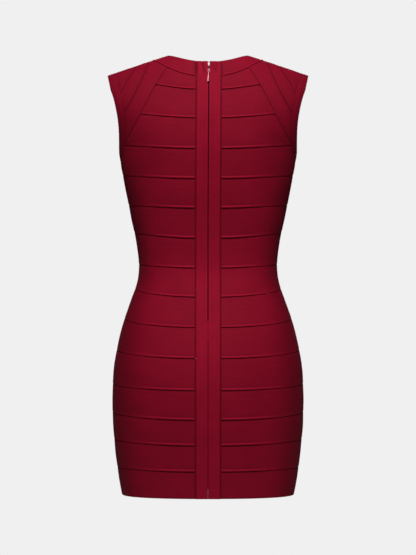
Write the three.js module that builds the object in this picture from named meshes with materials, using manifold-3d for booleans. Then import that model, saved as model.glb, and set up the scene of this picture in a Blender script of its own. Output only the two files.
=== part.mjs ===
// A sleeveless bodycon dress made of wide knitted bands, in the hollow form it takes when worn.
// Millimetres, +Z up, +Y the way the wearer faces, +X the wearer's right.
// The origin is midway between the shoulders, at the height where they carry the dress.
import * as THREE from 'three';
import Module from 'manifold-3d';
import { mergeVertices } from 'three/addons/utils/BufferGeometryUtils.js';

const wasm = await Module();
wasm.setup();

const DEGREE = Math.PI / 180;
const BACK = -1;
const FRONT = 1;
const SIDES = [['left', -1], ['right', 1]];

// Cloth
const THICKNESS = 1.8;
const SEAM_GAP = 0.4;
const LAP_LIFT = 1.1;
const FLAT_LIFT = 0.6;
const STRIP_LIFT = 1.5;
const SHOULDER_SEAM_GAP = 0.6;
const ROUND_SEAM_GAP = 0.8;
const ARMHOLE_SEAM_GAP = 0.8;

// Neck and shoulders. A drop is the distance below the top of the shoulder, beside the neck.
const SHOULDER_TOP = 16;
const SHOULDER_SLOPE = 0.345;
const NECK_ROUNDING = 30;
const CHEST_DROP = 195;
const NECK = { halfWidth: 72, backDrop: 15.2, frontDrop: 90, backFullness: 1.25, frontFullness: 0.8 };
const NECK_SEAM = { halfWidth: 99, backDrop: 41.9, frontDrop: 124, backFullness: 1.11, frontFullness: 0.8 };

// Body sections. The half width above the underarm is that of the uncut cloth.
const SECTIONS = [
  { drop: -20, halfWidth: 214, back: 88, front: 84, squareness: 2.3 },
  { drop: 60, halfWidth: 213, back: 95, front: 87, squareness: 2.3 },
  { drop: 80, halfWidth: 205, back: 96, front: 92, squareness: 2.3 },
  { drop: 98, halfWidth: 195, back: 97, front: 97, squareness: 2.3 },
  { drop: 116, halfWidth: 184, back: 98, front: 102, squareness: 2.3 },
  { drop: 134, halfWidth: 175, back: 98, front: 107, squareness: 2.3 },
  { drop: 152, halfWidth: 167.5, back: 98, front: 112, squareness: 2.3 },
  { drop: 172, halfWidth: 161.5, back: 97, front: 117, squareness: 2.3 },
  { drop: 195, halfWidth: 157.6, back: 95, front: 122, squareness: 2.3 },
  { drop: 225, halfWidth: 152, back: 92, front: 125.5, squareness: 2.3 },
  { drop: 252, halfWidth: 146.6, back: 89, front: 125, squareness: 2.3 },
  { drop: 297, halfWidth: 137.7, back: 82, front: 114, squareness: 2.3 },
  { drop: 340, halfWidth: 128.6, back: 77, front: 101, squareness: 2.3 },
  { drop: 379, halfWidth: 124.6, back: 76, front: 93, squareness: 2.3 },
  { drop: 406, halfWidth: 126.9, back: 80, front: 92.5, squareness: 2.3 },
  { drop: 442, halfWidth: 138.6, back: 90, front: 96, squareness: 2.35 },
  { drop: 478, halfWidth: 151.3, back: 101, front: 100, squareness: 2.4 },
  { drop: 514, halfWidth: 160.7, back: 110, front: 103, squareness: 2.4 },
  { drop: 560, halfWidth: 169.2, back: 118, front: 104, squareness: 2.4 },
  { drop: 610, halfWidth: 172.1, back: 120, front: 104, squareness: 2.4 },
  { drop: 660, halfWidth: 171.4, back: 116, front: 103, squareness: 2.4 },
  { drop: 713, halfWidth: 167.1, back: 109, front: 101, squareness: 2.4 },
  { drop: 760, halfWidth: 160.9, back: 103, front: 99, squareness: 2.4 },
  { drop: 800, halfWidth: 153.6, back: 99, front: 97, squareness: 2.4 },
];

// Lower edges of the horizontal bands: the drop at the centre, and how much less it is at the side.
const BAND_EDGES = [
  { centreDrop: 67, sideRise: 54 },
  { centreDrop: 118.6, sideRise: 27 },
  { centreDrop: 172.9, sideRise: 15 },
  { centreDrop: 225.9, sideRise: 12 },
  { centreDrop: 277.9, sideRise: 10 },
  { centreDrop: 331.5, sideRise: 15 },
  { centreDrop: 384.5, sideRise: 9 },
  { centreDrop: 436.5, sideRise: 18 },
  { centreDrop: 489.9, sideRise: 18 },
  { centreDrop: 544.2, sideRise: 16 },
  { centreDrop: 600.2, sideRise: 10 },
  { centreDrop: 652.4, sideRise: 12 },
  { centreDrop: 697.8, sideRise: 9 },
  { centreDrop: 744.3, sideRise: 4 },
  { centreDrop: 793.3, sideRise: 0 },
];
const EDGE_BEND = 2.5;
const FIRST_FRONT_BAND = 2;
const FIRST_SIDE_BAND = 3;

// Seams of the bands that cross the shoulder, from its crest to the armhole seam.
const INNER_START_ACROSS = 72.6;
const FRONT_INNER_START_ACROSS = 88;
const INNER_DIAGONAL = [
  { across: 94.2, drop: 57.9 },
  { across: 112.8, drop: 94.5 },
  { across: 126.2, drop: 121.3 },
];
const MIDDLE_DIAGONAL = [
  { across: 102.5, drop: 9.9 },
  { across: 116.2, drop: 38.3 },
  { across: 132.8, drop: 75.4 },
];
const OUTER_DIAGONAL = [
  { across: 130.5, drop: 19.2 },
  { across: 134.6, drop: 29.4 },
  { across: 145.5, drop: 47.4 },
];
const INNER_END_DROP = 164.5;
const MIDDLE_END_DROP = 106.6;
const OUTER_END_DROP = 72;

// The armhole's edge and its band's seam, as the angle from the centre line of the back or front.
const ARMHOLE_EDGE = [
  { angle: 72.9, drop: 36.6 },
  { angle: 72.2, drop: 44 },
  { angle: 71.0, drop: 62 },
  { angle: 70.3, drop: 80 },
  { angle: 70.5, drop: 98 },
  { angle: 71.7, drop: 116 },
  { angle: 73.9, drop: 134 },
  { angle: 77.0, drop: 150 },
  { angle: 80.6, drop: 163 },
  { angle: 85.2, drop: 173 },
  { angle: 90, drop: 177 },
];
const ARMHOLE_SEAM = [
  { angle: 69.4, drop: 32.2 },
  { angle: 68.2, drop: 43 },
  { angle: 66.9, drop: 60 },
  { angle: 66.0, drop: 80 },
  { angle: 65.8, drop: 100 },
  { angle: 66.7, drop: 120 },
  { angle: 68.5, drop: 140 },
  { angle: 71.3, drop: 157 },
  { angle: 75.3, drop: 172 },
  { angle: 81.6, drop: 185 },
  { angle: 90, drop: 191 },
];

// Strips that run down the centre of the back, and the zip between them
const STRIP_EDGE = 23;
const ZIP_SLIT = 1.7;
const ZIP_END_DROP = 476;
const SLIT_CLOSING = 4;
const NOTCH_WIDTH = 4.4;
const NOTCH_DEPTH = 9;
const TAPE_WIDTH = 12;
const TAPE_THICKNESS = 1.1;
const TAPE_TAIL = 8;
const SLIDER_DROP = 34;
const SLIDER = { width: 6.4, length: 9, height: 2.2, waist: 4.6, lift: 0.3 };
const BAIL = { width: 1.4, length: 5.2, height: 2.7, bar: 0.9, post: 1, sink: 0.2 };
const PULL = { thickness: 0.9, eyeWidth: 4.4, holeWidth: 2.2, holeLength: 3.6, bar: 0.9, length: 23.5 };
const PULL_LEAN = 4;
const PULL_NECK = { halfWidth: 1.2, at: 8 };
const PULL_END_WIDTH = 3.8;
const PULL_CORNER = 1;
const PULL_TAPER = { eye: 2, end: 3 };

// Grid steps along a band, and down it
const FIRST_ANGLE = 23;
const ANGLE_STEP = 9;
const FINE_ANGLE_STEP = 2.5;
const BAND_STEPS = 2;
const SHOULDER_STEPS = 11;
const SHOULDER_TURN_STEPS = 4;
const SHOULDER_WIDTH_STEPS = 4;
const OUTER_BAND_STEPS = 7;
const ARMHOLE_STEPS = 20;
const NECK_STEPS = 22;
const CROWN_SHARE = 0.3;
const CENTRE_ANGLE = 2;
const FRONT_KINKS = [8, 15.5];
const START_CLEARANCE = 3;
const STATION_CLEARANCE = 1;

// The pointed ends of the bands beside the neck are cut a little short, in degrees.
const TIP_TRIM = 0.7;
const YOKE_TRIM = { neck: 1.6, shoulder: 0.8 };
const TIPPED_BANDS = 2;

// The outer shoulder band stops short of the outer diagonal's end.
const OUTER_BAND_SHARE = 0.9;
const OUTER_BAND_RAISE = 6;

const BISECTIONS = 40;
const SETTLE_PASSES = 12;
const MERGE_DISTANCE = 1e-4;
const CURVE_STEPS = 5;

const cloth = { color: 0x8a1530, roughness: 0.75, metalness: 0 };
const tape = { color: 0x3d0c16, roughness: 0.8, metalness: 0 };
const enamel = { color: 0xd79aa2, roughness: 0.35, metalness: 0.4 };

const dress = new THREE.Group();

function addPart(name, geometry, finish) {
  const mesh = new THREE.Mesh(geometry, new THREE.MeshStandardMaterial(finish));
  mesh.name = name;
  dress.add(mesh);
  return mesh;
}

function mix(from, to, share) {
  return from + (to - from) * share;
}

// Shares from 0 to 1, in equal steps.
function shares(steps) {
  return [...Array(steps + 1).keys()].map((step) => step / steps);
}

// The body surface

// A smooth curve through one column of a table, by its drop.
function column(rows, name, drop) {
  const last = rows.length - 1;
  let at = rows.findIndex((row) => row.drop > drop) - 1;
  if (at === -2) at = last - 1;
  at = Math.max(at, 0);
  const slope = (i) => {
    const before = rows[Math.max(i - 1, 0)];
    const after = rows[Math.min(i + 1, last)];
    return (after[name] - before[name]) / (after.drop - before.drop);
  };
  const low = rows[at];
  const high = rows[at + 1];
  const span = high.drop - low.drop;
  const t = THREE.MathUtils.clamp((drop - low.drop) / span, 0, 1);
  const blend = t * t * (3 - 2 * t);
  const leave = t * (1 - t) * (1 - t) * span * slope(at);
  const arrive = t * t * (t - 1) * span * slope(at + 1);
  return mix(low[name], high[name], blend) + leave + arrive;
}

function section(face, drop) {
  return {
    halfWidth: column(SECTIONS, 'halfWidth', drop),
    depth: column(SECTIONS, face === BACK ? 'back' : 'front', drop),
    squareness: column(SECTIONS, 'squareness', drop),
  };
}

// How far the cloth stands from the side plane at this distance across.
function depthAt(face, across, drop) {
  const { halfWidth, depth, squareness } = section(face, drop);
  const share = Math.min(Math.abs(across) / halfWidth, 1);
  return depth * (1 - share ** squareness) ** (1 / squareness);
}

// The distance from the middle of the section, for an angle from the centre line.
function reachAt(face, angle, drop) {
  const { halfWidth, depth, squareness } = section(face, drop);
  const sine = Math.abs(Math.sin(angle * DEGREE));
  const cosine = Math.abs(Math.cos(angle * DEGREE));
  const bend = (sine / halfWidth) ** squareness + (cosine / depth) ** squareness;
  return bend ** (-1 / squareness);
}

function acrossAt(face, angle, drop) {
  return Math.sin(angle * DEGREE) * reachAt(face, angle, drop);
}

function angleAt(face, across, drop) {
  return Math.atan2(across, depthAt(face, across, drop)) / DEGREE;
}

function crestDrop(across) {
  const rise = Math.hypot(across, NECK_ROUNDING) - Math.hypot(NECK.halfWidth, NECK_ROUNDING);
  return SHOULDER_SLOPE * rise;
}

// Above the chest the cloth curls in to the crest of the shoulder. Its rise is 0 degrees at the
// chest line of the back, 90 at the crest and 180 at the chest line of the front.
function riseAt(across, drop) {
  const share = (CHEST_DROP - drop) / (CHEST_DROP - crestDrop(across));
  return Math.asin(THREE.MathUtils.clamp(share, -1, 1)) / DEGREE;
}

function dropAtRise(across, rise) {
  return CHEST_DROP - (CHEST_DROP - crestDrop(across)) * Math.sin(rise * DEGREE);
}

function onCrown(across, rise) {
  const drop = dropAtRise(across, rise);
  const face = rise > 90 ? FRONT : BACK;
  const curl = Math.abs(Math.cos(rise * DEGREE));
  return new THREE.Vector3(across, face * curl * depthAt(face, across, drop), SHOULDER_TOP - drop);
}

function curlAt(across, drop) {
  return drop < CHEST_DROP ? Math.cos(riseAt(across, drop) * DEGREE) : 1;
}

function onBody(face, across, drop) {
  const depth = curlAt(across, drop) * depthAt(face, across, drop);
  return new THREE.Vector3(across, face * depth, SHOULDER_TOP - drop);
}

function onSide(face, angle, drop) {
  const reach = reachAt(face, angle, drop);
  const across = reach * Math.sin(angle * DEGREE);
  const depth = reach * Math.cos(angle * DEGREE) * curlAt(across, drop);
  return new THREE.Vector3(across, face * depth, SHOULDER_TOP - drop);
}

// A place on the surface with its outward normal, from a function of two values.
function spot(locate, first, second, step = 0.05) {
  const point = locate(first, second);
  const alongFirst = locate(first + step, second).sub(locate(first - step, second));
  const alongSecond = locate(first, second + step).sub(locate(first, second - step));
  const normal = alongFirst.cross(alongSecond).normalize();
  const core = new THREE.Vector3(0, 0, Math.min(point.z, SHOULDER_TOP - CHEST_DROP));
  if (normal.dot(point.clone().sub(core)) < 0) normal.negate();
  return { point, normal };
}

function crownSpot(across, rise) {
  return spot(onCrown, across, rise);
}

function sideSpot(face, angle, drop) {
  return spot((a, d) => onSide(face, a, d), angle, drop);
}

function backSpot(across, drop) {
  return spot((a, d) => onBody(BACK, a, d), across, drop);
}

function mirrored(place) {
  const flip = new THREE.Vector3(-1, 1, 1);
  return { point: place.point.clone().multiply(flip), normal: place.normal.clone().multiply(flip) };
}

// Walls of cloth

// Draws the outer edges of a grid of spots in by half a seam gap, square to each edge.
function easeSeams(spots, ring, gap) {
  const columns = spots.length - 1;
  const rows = spots[0].length - 1;
  const moves = [];
  const draw = (edge, inner, before, after) => {
    const along = after.point.clone().sub(before.point).normalize();
    const way = inner.point.clone().sub(edge.point);
    way.addScaledVector(along, -way.dot(along)).setLength(gap / 2);
    moves.push([edge, way]);
  };
  spots.forEach((line, i) => {
    const before = spots[ring ? (i + columns) % (columns + 1) : Math.max(i - 1, 0)];
    const after = spots[ring ? (i + 1) % (columns + 1) : Math.min(i + 1, columns)];
    draw(line[0], line[1], before[0], after[0]);
    draw(line[rows], line[rows - 1], before[rows], after[rows]);
  });
  if (!ring) {
    for (let j = 0; j <= rows; j += 1) {
      const up = Math.max(j - 1, 0);
      const down = Math.min(j + 1, rows);
      draw(spots[0][j], spots[1][j], spots[0][up], spots[0][down]);
      draw(spots[columns][j], spots[columns - 1][j], spots[columns][up], spots[columns][down]);
    }
  }
  moves.forEach(([edge, way]) => edge.point.add(way));
}

function signedVolume(positions, indices) {
  const corner = (n) => new THREE.Vector3().fromArray(positions, indices[n] * 3);
  let volume = 0;
  for (let n = 0; n < indices.length; n += 3) {
    volume += corner(n).dot(corner(n + 1).cross(corner(n + 2))) / 6;
  }
  return volume;
}

// One closed wall over a grid of spots. lift(j) is how far row j's outer face stands off.
function wall(spots, lift, { thickness = THICKNESS, ring = false, gap = SEAM_GAP } = {}) {
  easeSeams(spots, ring, gap);
  const columns = spots.length;
  const rows = spots[0].length;
  const positions = [];
  const faceOf = (layer) => spots.forEach((line) => line.forEach((place, j) => {
    const off = lift(j / (rows - 1)) - layer * thickness;
    positions.push(...place.point.clone().addScaledVector(place.normal, off).toArray());
  }));
  faceOf(0);
  faceOf(1);
  const index = (layer, i, j) => layer * columns * rows + (i % columns) * rows + j;
  const indices = [];
  const quad = (a, b, c, d) => indices.push(a, b, c, a, c, d);
  const lastColumn = ring ? columns : columns - 1;
  for (let i = 0; i < lastColumn; i += 1) {
    for (let j = 0; j < rows - 1; j += 1) {
      quad(index(0, i, j), index(0, i + 1, j), index(0, i + 1, j + 1), index(0, i, j + 1));
      quad(index(1, i, j), index(1, i, j + 1), index(1, i + 1, j + 1), index(1, i + 1, j));
    }
    quad(index(0, i + 1, 0), index(0, i, 0), index(1, i, 0), index(1, i + 1, 0));
    quad(index(0, i, rows - 1), index(0, i + 1, rows - 1), index(1, i + 1, rows - 1), index(1, i, rows - 1));
  }
  if (!ring) {
    for (let j = 0; j < rows - 1; j += 1) {
      quad(index(0, 0, j), index(0, 0, j + 1), index(1, 0, j + 1), index(1, 0, j));
      const end = columns - 1;
      quad(index(0, end, j + 1), index(0, end, j), index(1, end, j), index(1, end, j + 1));
    }
  }
  if (signedVolume(positions, indices) < 0) indices.reverse();
  const geometry = new THREE.BufferGeometry();
  geometry.setAttribute('position', new THREE.Float32BufferAttribute(positions, 3));
  geometry.setIndex(indices);
  geometry.computeVertexNormals();
  return geometry;
}

const lapped = (share) => share * LAP_LIFT;
const level = () => FLAT_LIFT;
const raised = () => STRIP_LIFT;

// Seam curves

// A smooth curve through places given by two named values, for a share from 0 to 1.
function curveThrough(places, first, second) {
  const points = places.map((place) => new THREE.Vector3(place[first], place[second], 0));
  const curve = new THREE.CatmullRomCurve3(points);
  return (share) => {
    const at = curve.getPoint(share);
    return { [first]: at.x, [second]: at.y };
  };
}

// The share of a curve where a measure of it reaches zero.
function shareWhere(measure) {
  let low = 0;
  let high = 1;
  const rising = measure(1) > measure(0);
  for (let pass = 0; pass < BISECTIONS; pass += 1) {
    const middle = (low + high) / 2;
    if ((measure(middle) > 0) === rising) high = middle;
    else low = middle;
  }
  return (low + high) / 2;
}

// Armhole curves are kept as an angle and a rise, so that they cross the crest smoothly.
function armholeCurve(rows) {
  const places = rows.map(({ angle, drop }) => {
    const across = acrossAt(BACK, angle, drop);
    return { angle, rise: riseAt(across, Math.max(drop, crestDrop(across))) };
  });
  places[0].rise = 90;
  return curveThrough(places, 'angle', 'rise');
}

const armholeEdge = armholeCurve(ARMHOLE_EDGE);
const armholeSeam = armholeCurve(ARMHOLE_SEAM);

// Turns an angle and a rise into a distance across and a drop.
function settle({ angle, rise }) {
  let drop = CHEST_DROP * (1 - Math.sin(rise * DEGREE));
  let across = 0;
  for (let pass = 0; pass < SETTLE_PASSES; pass += 1) {
    across = acrossAt(BACK, angle, drop);
    drop = dropAtRise(across, rise);
  }
  return { across, drop, angle, rise };
}

function seamPlaceAtDrop(drop) {
  const share = shareWhere((s) => settle(armholeSeam(s)).drop - drop);
  return { share, ...settle(armholeSeam(share)) };
}

// The same place on the seam has its own angle on the back and on the front.
function faceAngle(face, { across, drop }) {
  return angleAt(face, across, drop);
}

function armholeSeamDrop(face, angle) {
  const start = seamPlaceAtDrop(INNER_END_DROP).share;
  const placeAt = (share) => settle(armholeSeam(mix(start, 1, share)));
  return placeAt(shareWhere((share) => faceAngle(face, placeAt(share)) - angle)).drop;
}

// A neck curve runs from 0 at the centre back to 180 degrees at the centre front.
function neckCurve(shape, turn) {
  const across = shape.halfWidth * Math.sin(turn * DEGREE);
  const reach = Math.abs(Math.cos(turn * DEGREE));
  const atBack = turn < 90;
  const centreRise = riseAt(0, atBack ? shape.backDrop : shape.frontDrop);
  const fullness = atBack ? shape.backFullness : shape.frontFullness;
  const rise = 90 - (90 - centreRise) * reach ** fullness;
  return { across, rise: atBack ? rise : 180 - rise };
}

function neckSeamDrop(face, across) {
  const turn = Math.asin(Math.min(Math.abs(across) / NECK_SEAM.halfWidth, 1)) / DEGREE;
  const place = neckCurve(NECK_SEAM, face === BACK ? turn : 180 - turn);
  return dropAtRise(across, place.rise);
}

// A diagonal seam from its table to where it meets the armhole seam, by distance across and rise.
function diagonal(rows, endDrop) {
  const places = [...rows, seamPlaceAtDrop(endDrop)];
  const risen = places.map(({ across, drop }) => {
    return { across, rise: riseAt(across, Math.max(drop, crestDrop(across))) };
  });
  return curveThrough(risen, 'across', 'rise');
}

function innerDiagonalOn(face, startAcross, rows) {
  const start = { across: startAcross, drop: neckSeamDrop(face, startAcross) };
  return diagonal([start, ...rows], INNER_END_DROP);
}

const innerDiagonal = innerDiagonalOn(BACK, INNER_START_ACROSS, INNER_DIAGONAL);
const frontInnerDiagonal = innerDiagonalOn(FRONT, FRONT_INNER_START_ACROSS, INNER_DIAGONAL.slice(1));
const middleDiagonal = diagonal(MIDDLE_DIAGONAL, MIDDLE_END_DROP);
const outerDiagonal = diagonal(OUTER_DIAGONAL, OUTER_END_DROP);

function diagonalDrop(curve, across) {
  const share = shareWhere((s) => curve(s).across - across);
  const place = curve(share);
  return dropAtRise(place.across, place.rise);
}

function bandEdgeDrop(number, angle) {
  const { centreDrop, sideRise } = BAND_EDGES[number];
  return centreDrop - sideRise * (Math.abs(angle) / 90) ** EDGE_BEND;
}

// Horizontal bands

// Upper limit of the cloth under the neckband and the inner shoulder band, by angle.
function yokeDrop(face, angle, nearDrop) {
  const curve = face === BACK ? innerDiagonal : frontInnerDiagonal;
  const across = Math.abs(acrossAt(face, angle, nearDrop));
  const start = curve(0).across;
  if (across <= start) return neckSeamDrop(face, across);
  return diagonalDrop(curve, across);
}

function yokeDropAt(face, angle) {
  let drop = CHEST_DROP / 2;
  for (let pass = 0; pass < SETTLE_PASSES; pass += 1) drop = yokeDrop(face, angle, drop);
  return drop;
}

// The angle where the inner diagonal meets the lower edge of a band.
function diagonalAngle(face, number) {
  const curve = face === BACK ? innerDiagonal : frontInnerDiagonal;
  const placeOf = (share) => {
    const { across, rise } = curve(share);
    const drop = dropAtRise(across, rise);
    return { angle: angleAt(face, across, drop), drop };
  };
  const share = shareWhere((s) => placeOf(s).drop - bandEdgeDrop(number, placeOf(s).angle));
  return placeOf(share).angle;
}

function diagonalStartAngle(face) {
  const curve = face === BACK ? innerDiagonal : frontInnerDiagonal;
  const { across, rise } = curve(0);
  return angleAt(face, across, dropAtRise(across, rise));
}

function armholeStartAngle(face) {
  return faceAngle(face, seamPlaceAtDrop(INNER_END_DROP));
}

function upperDrop(face, number, angle) {
  if (number > FIRST_SIDE_BAND) return bandEdgeDrop(number - 1, angle);
  if (number === FIRST_SIDE_BAND) {
    if (Math.abs(angle) <= armholeStartAngle(face)) return bandEdgeDrop(2, angle);
    return armholeSeamDrop(face, Math.abs(angle));
  }
  const yoke = yokeDropAt(face, angle);
  return number === 0 ? yoke : Math.max(yoke, bandEdgeDrop(number - 1, angle));
}

// Angles from one end of a band to the other, closer together beyond the angle where fine starts.
function angleStations(from, to, { fineFrom = 90, kinks = [] } = {}) {
  const fixed = [...kinks, to];
  const steps = [];
  for (let angle = FIRST_ANGLE; angle < Math.min(fineFrom, to); angle += ANGLE_STEP) steps.push(angle);
  for (let angle = fineFrom; angle < to; angle += FINE_ANGLE_STEP) steps.push(angle);
  const apart = (angle) => fixed.every((other) => Math.abs(other - angle) > STATION_CLEARANCE);
  const clear = (angle) => angle > from + START_CLEARANCE && apart(angle);
  return [...steps.filter(clear), ...fixed].sort((a, b) => a - b);
}

// The grid of a band between its two edges, at the given angles.
function bandSpots(face, number, angles) {
  return angles.map((angle) => {
    const top = upperDrop(face, number, angle);
    const bottom = bandEdgeDrop(number, angle);
    return shares(BAND_STEPS).map((share) => sideSpot(face, angle, mix(top, bottom, share)));
  });
}

// The first line of a back band, beside the centre strip.
function stripLine(number, side) {
  const nearAngle = angleAt(BACK, STRIP_EDGE, BAND_EDGES[number].centreDrop);
  const top = upperDrop(BACK, number, nearAngle);
  const bottom = bandEdgeDrop(number, nearAngle);
  return shares(BAND_STEPS).map((share) => backSpot(side * STRIP_EDGE, mix(top, bottom, share)));
}

// The bands that meet the round seams of the yoke keep a little more clearance.
function bandGap(number) {
  return number <= FIRST_SIDE_BAND ? ROUND_SEAM_GAP : SEAM_GAP;
}

function padded(number) {
  return String(number).padStart(2, '0');
}

// Where a back band needs closer steps, because its upper edge turns there.
function backShape(number) {
  const shape = { kinks: [] };
  if (number === 0) {
    shape.kinks.push(diagonalStartAngle(BACK));
    shape.fineFrom = FIRST_ANGLE;
  } else if (number < FIRST_SIDE_BAND) {
    shape.fineFrom = diagonalAngle(BACK, number - 1);
  } else if (number === FIRST_SIDE_BAND) {
    shape.kinks.push(armholeStartAngle(BACK));
    shape.fineFrom = armholeStartAngle(BACK);
  }
  return shape;
}

function addBackBands() {
  BAND_EDGES.forEach((edge, number) => {
    const outer = number < FIRST_SIDE_BAND ? diagonalAngle(BACK, number) : 90;
    const end = number < TIPPED_BANDS ? outer - TIP_TRIM : outer;
    const angles = angleStations(angleAt(BACK, STRIP_EDGE, edge.centreDrop), end, backShape(number));
    SIDES.forEach(([name, side]) => {
      const grid = bandSpots(BACK, number, angles.map((angle) => side * angle));
      const geometry = wall([stripLine(number, side), ...grid], lapped, { gap: bandGap(number) });
      addPart(`back_band_${padded(number + 1)}_${name}`, geometry, cloth);
    });
  });
}

// The two yoke pieces of the front lie between the neckband, the shoulder band and the third band.
function addFrontYoke() {
  const meeting = (share) => mix(CENTRE_ANGLE, diagonalStartAngle(FRONT), share);
  const share = shareWhere((s) => yokeDropAt(FRONT, meeting(s)) - bandEdgeDrop(1, meeting(s)));
  const inner = meeting(share) + YOKE_TRIM.neck;
  const outer = diagonalAngle(FRONT, 1) - YOKE_TRIM.shoulder;
  const shape = { fineFrom: FIRST_ANGLE, kinks: [diagonalStartAngle(FRONT)] };
  const angles = [inner, ...angleStations(inner, outer, shape)];
  SIDES.forEach(([name, side]) => {
    const spots = angles.map((angle) => {
      const top = yokeDropAt(FRONT, angle);
      const bottom = bandEdgeDrop(1, angle);
      return shares(BAND_STEPS).map((down) => sideSpot(FRONT, side * angle, mix(top, bottom, down)));
    });
    addPart(`front_yoke_${name}`, wall(spots, lapped, { gap: ROUND_SEAM_GAP }), cloth);
  });
  return meeting(share);
}

function addFrontBands(neckMeeting) {
  BAND_EDGES.slice(FIRST_FRONT_BAND).forEach((edge, place) => {
    const number = place + FIRST_FRONT_BAND;
    const outer = number === FIRST_FRONT_BAND ? diagonalAngle(FRONT, number) : 90;
    const shape = { kinks: [...FRONT_KINKS] };
    if (number === FIRST_FRONT_BAND) {
      shape.fineFrom = diagonalAngle(FRONT, 1);
      shape.kinks.push(neckMeeting);
    } else if (number === FIRST_SIDE_BAND) {
      shape.fineFrom = armholeStartAngle(FRONT);
      shape.kinks.push(armholeStartAngle(FRONT));
    }
    const half = angleStations(CENTRE_ANGLE, outer, shape);
    const angles = [...half.map((angle) => -angle).reverse(), 0, ...half];
    const geometry = wall(bandSpots(FRONT, number, angles), lapped, { gap: bandGap(number) });
    addPart(`front_band_${padded(number + 1)}`, geometry, cloth);
  });
}

// Neckband, shoulder bands and armhole bands

function addNeckband() {
  const startOf = (shape) => Math.asin(STRIP_EDGE / shape.halfWidth) / DEGREE;
  const lineAt = (share) => {
    const inner = neckCurve(NECK, mix(startOf(NECK), 180, share));
    const outer = neckCurve(NECK_SEAM, mix(startOf(NECK_SEAM), 180, share));
    return shares(BAND_STEPS).map((v) => {
      return crownSpot(mix(inner.across, outer.across, v), mix(inner.rise, outer.rise, v));
    });
  };
  const right = shares(NECK_STEPS).map(lineAt);
  const left = right.slice(0, -1).map((line) => line.map(mirrored)).reverse();
  addPart('neckband', wall([...right, ...left], level, { gap: ROUND_SEAM_GAP }), cloth);
}

// Fills the space between two long seams, with its ends on the armhole seam.
function shoulderSpots(innerAt, outerAt, steps, endAt) {
  return shares(steps).map((share) => {
    const inner = innerAt(share);
    const outer = outerAt(share);
    return shares(SHOULDER_WIDTH_STEPS).map((v) => {
      const end = share === 1 && endAt ? endAt(v) : null;
      const across = end ? end.across : mix(inner.across, outer.across, v);
      const rise = end ? end.rise : mix(inner.rise, outer.rise, v);
      return crownSpot(across, rise);
    });
  });
}

// Joins a back half and a front half at the crest of the shoulder.
function overShoulder(name, backHalf, frontHalf) {
  const right = [...backHalf.slice(1).reverse(), ...frontHalf];
  const left = right.map((line) => line.map(mirrored));
  addPart(`${name}_right`, wall(right, level, { gap: SHOULDER_SEAM_GAP }), cloth);
  addPart(`${name}_left`, wall(left, level, { gap: SHOULDER_SEAM_GAP }), cloth);
}

function toFront(curve) {
  return (share) => {
    const { across, rise } = curve(share);
    return { across, rise: 180 - rise };
  };
}

function endBetween(fromDrop, toDrop) {
  const from = seamPlaceAtDrop(fromDrop).share;
  const to = seamPlaceAtDrop(toDrop).share;
  return (v) => settle(armholeSeam(mix(from, to, v)));
}

// The inner band starts along the neckband's seam and follows the inner diagonal from there.
function innerBandEdge(curve, face, turnShare) {
  const start = curve(0);
  const startTurn = Math.asin(start.across / NECK_SEAM.halfWidth) / DEGREE;
  return (share) => {
    if (share < turnShare) {
      const turn = mix(90, startTurn, share / turnShare);
      const place = neckCurve(NECK_SEAM, face === BACK ? turn : 180 - turn);
      return { across: place.across, rise: Math.min(place.rise, 180 - place.rise) };
    }
    return curve((share - turnShare) / (1 - turnShare));
  };
}

function addShoulderBands() {
  const turnShare = SHOULDER_TURN_STEPS / SHOULDER_STEPS;
  const halfOf = (inner, outer, from, to, face) => {
    const end = endBetween(from, to);
    if (face === BACK) return shoulderSpots(inner, outer, SHOULDER_STEPS, end);
    return shoulderSpots(toFront(inner), toFront(outer), SHOULDER_STEPS, toFront(end));
  };
  const backInner = innerBandEdge(innerDiagonal, BACK, turnShare);
  const frontInner = innerBandEdge(frontInnerDiagonal, FRONT, turnShare);
  overShoulder(
    'shoulder_band_inner',
    halfOf(backInner, middleDiagonal, INNER_END_DROP, MIDDLE_END_DROP, BACK),
    halfOf(frontInner, middleDiagonal, INNER_END_DROP, MIDDLE_END_DROP, FRONT),
  );
  overShoulder(
    'shoulder_band_middle',
    halfOf(middleDiagonal, outerDiagonal, MIDDLE_END_DROP, OUTER_END_DROP, BACK),
    halfOf(middleDiagonal, outerDiagonal, MIDDLE_END_DROP, OUTER_END_DROP, FRONT),
  );
  const reach = seamPlaceAtDrop(OUTER_END_DROP - OUTER_BAND_RAISE).share;
  const outerStart = (share) => outerDiagonal(share * OUTER_BAND_SHARE);
  const seamTo = (share) => settle(armholeSeam(share * reach));
  overShoulder(
    'shoulder_band_outer',
    shoulderSpots(outerStart, seamTo, OUTER_BAND_STEPS),
    shoulderSpots(toFront(outerStart), toFront(seamTo), OUTER_BAND_STEPS),
  );
}

function addArmholeBands() {
  const lineAt = (share, face) => {
    const edge = armholeEdge(share);
    const seam = armholeSeam(share);
    return [0, 1].map((v) => {
      const place = settle({ angle: mix(seam.angle, edge.angle, v), rise: mix(seam.rise, edge.rise, v) });
      const rise = face === BACK ? place.rise : 180 - place.rise;
      if (share < CROWN_SHARE) return crownSpot(place.across, rise);
      return sideSpot(face, faceAngle(face, place), place.drop);
    });
  };
  const round = shares(ARMHOLE_STEPS);
  const back = round.map((share) => lineAt(share, BACK));
  const front = round.slice(1, -1).map((share) => lineAt(share, FRONT)).reverse();
  const spots = [...back, ...front];
  const copy = spots.map((line) => line.map(mirrored));
  addPart('armhole_band_right', wall(spots, level, { ring: true, gap: ARMHOLE_SEAM_GAP }), cloth);
  addPart('armhole_band_left', wall(copy, level, { ring: true, gap: ARMHOLE_SEAM_GAP }), cloth);
}

// Centre back strips and zip

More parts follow.
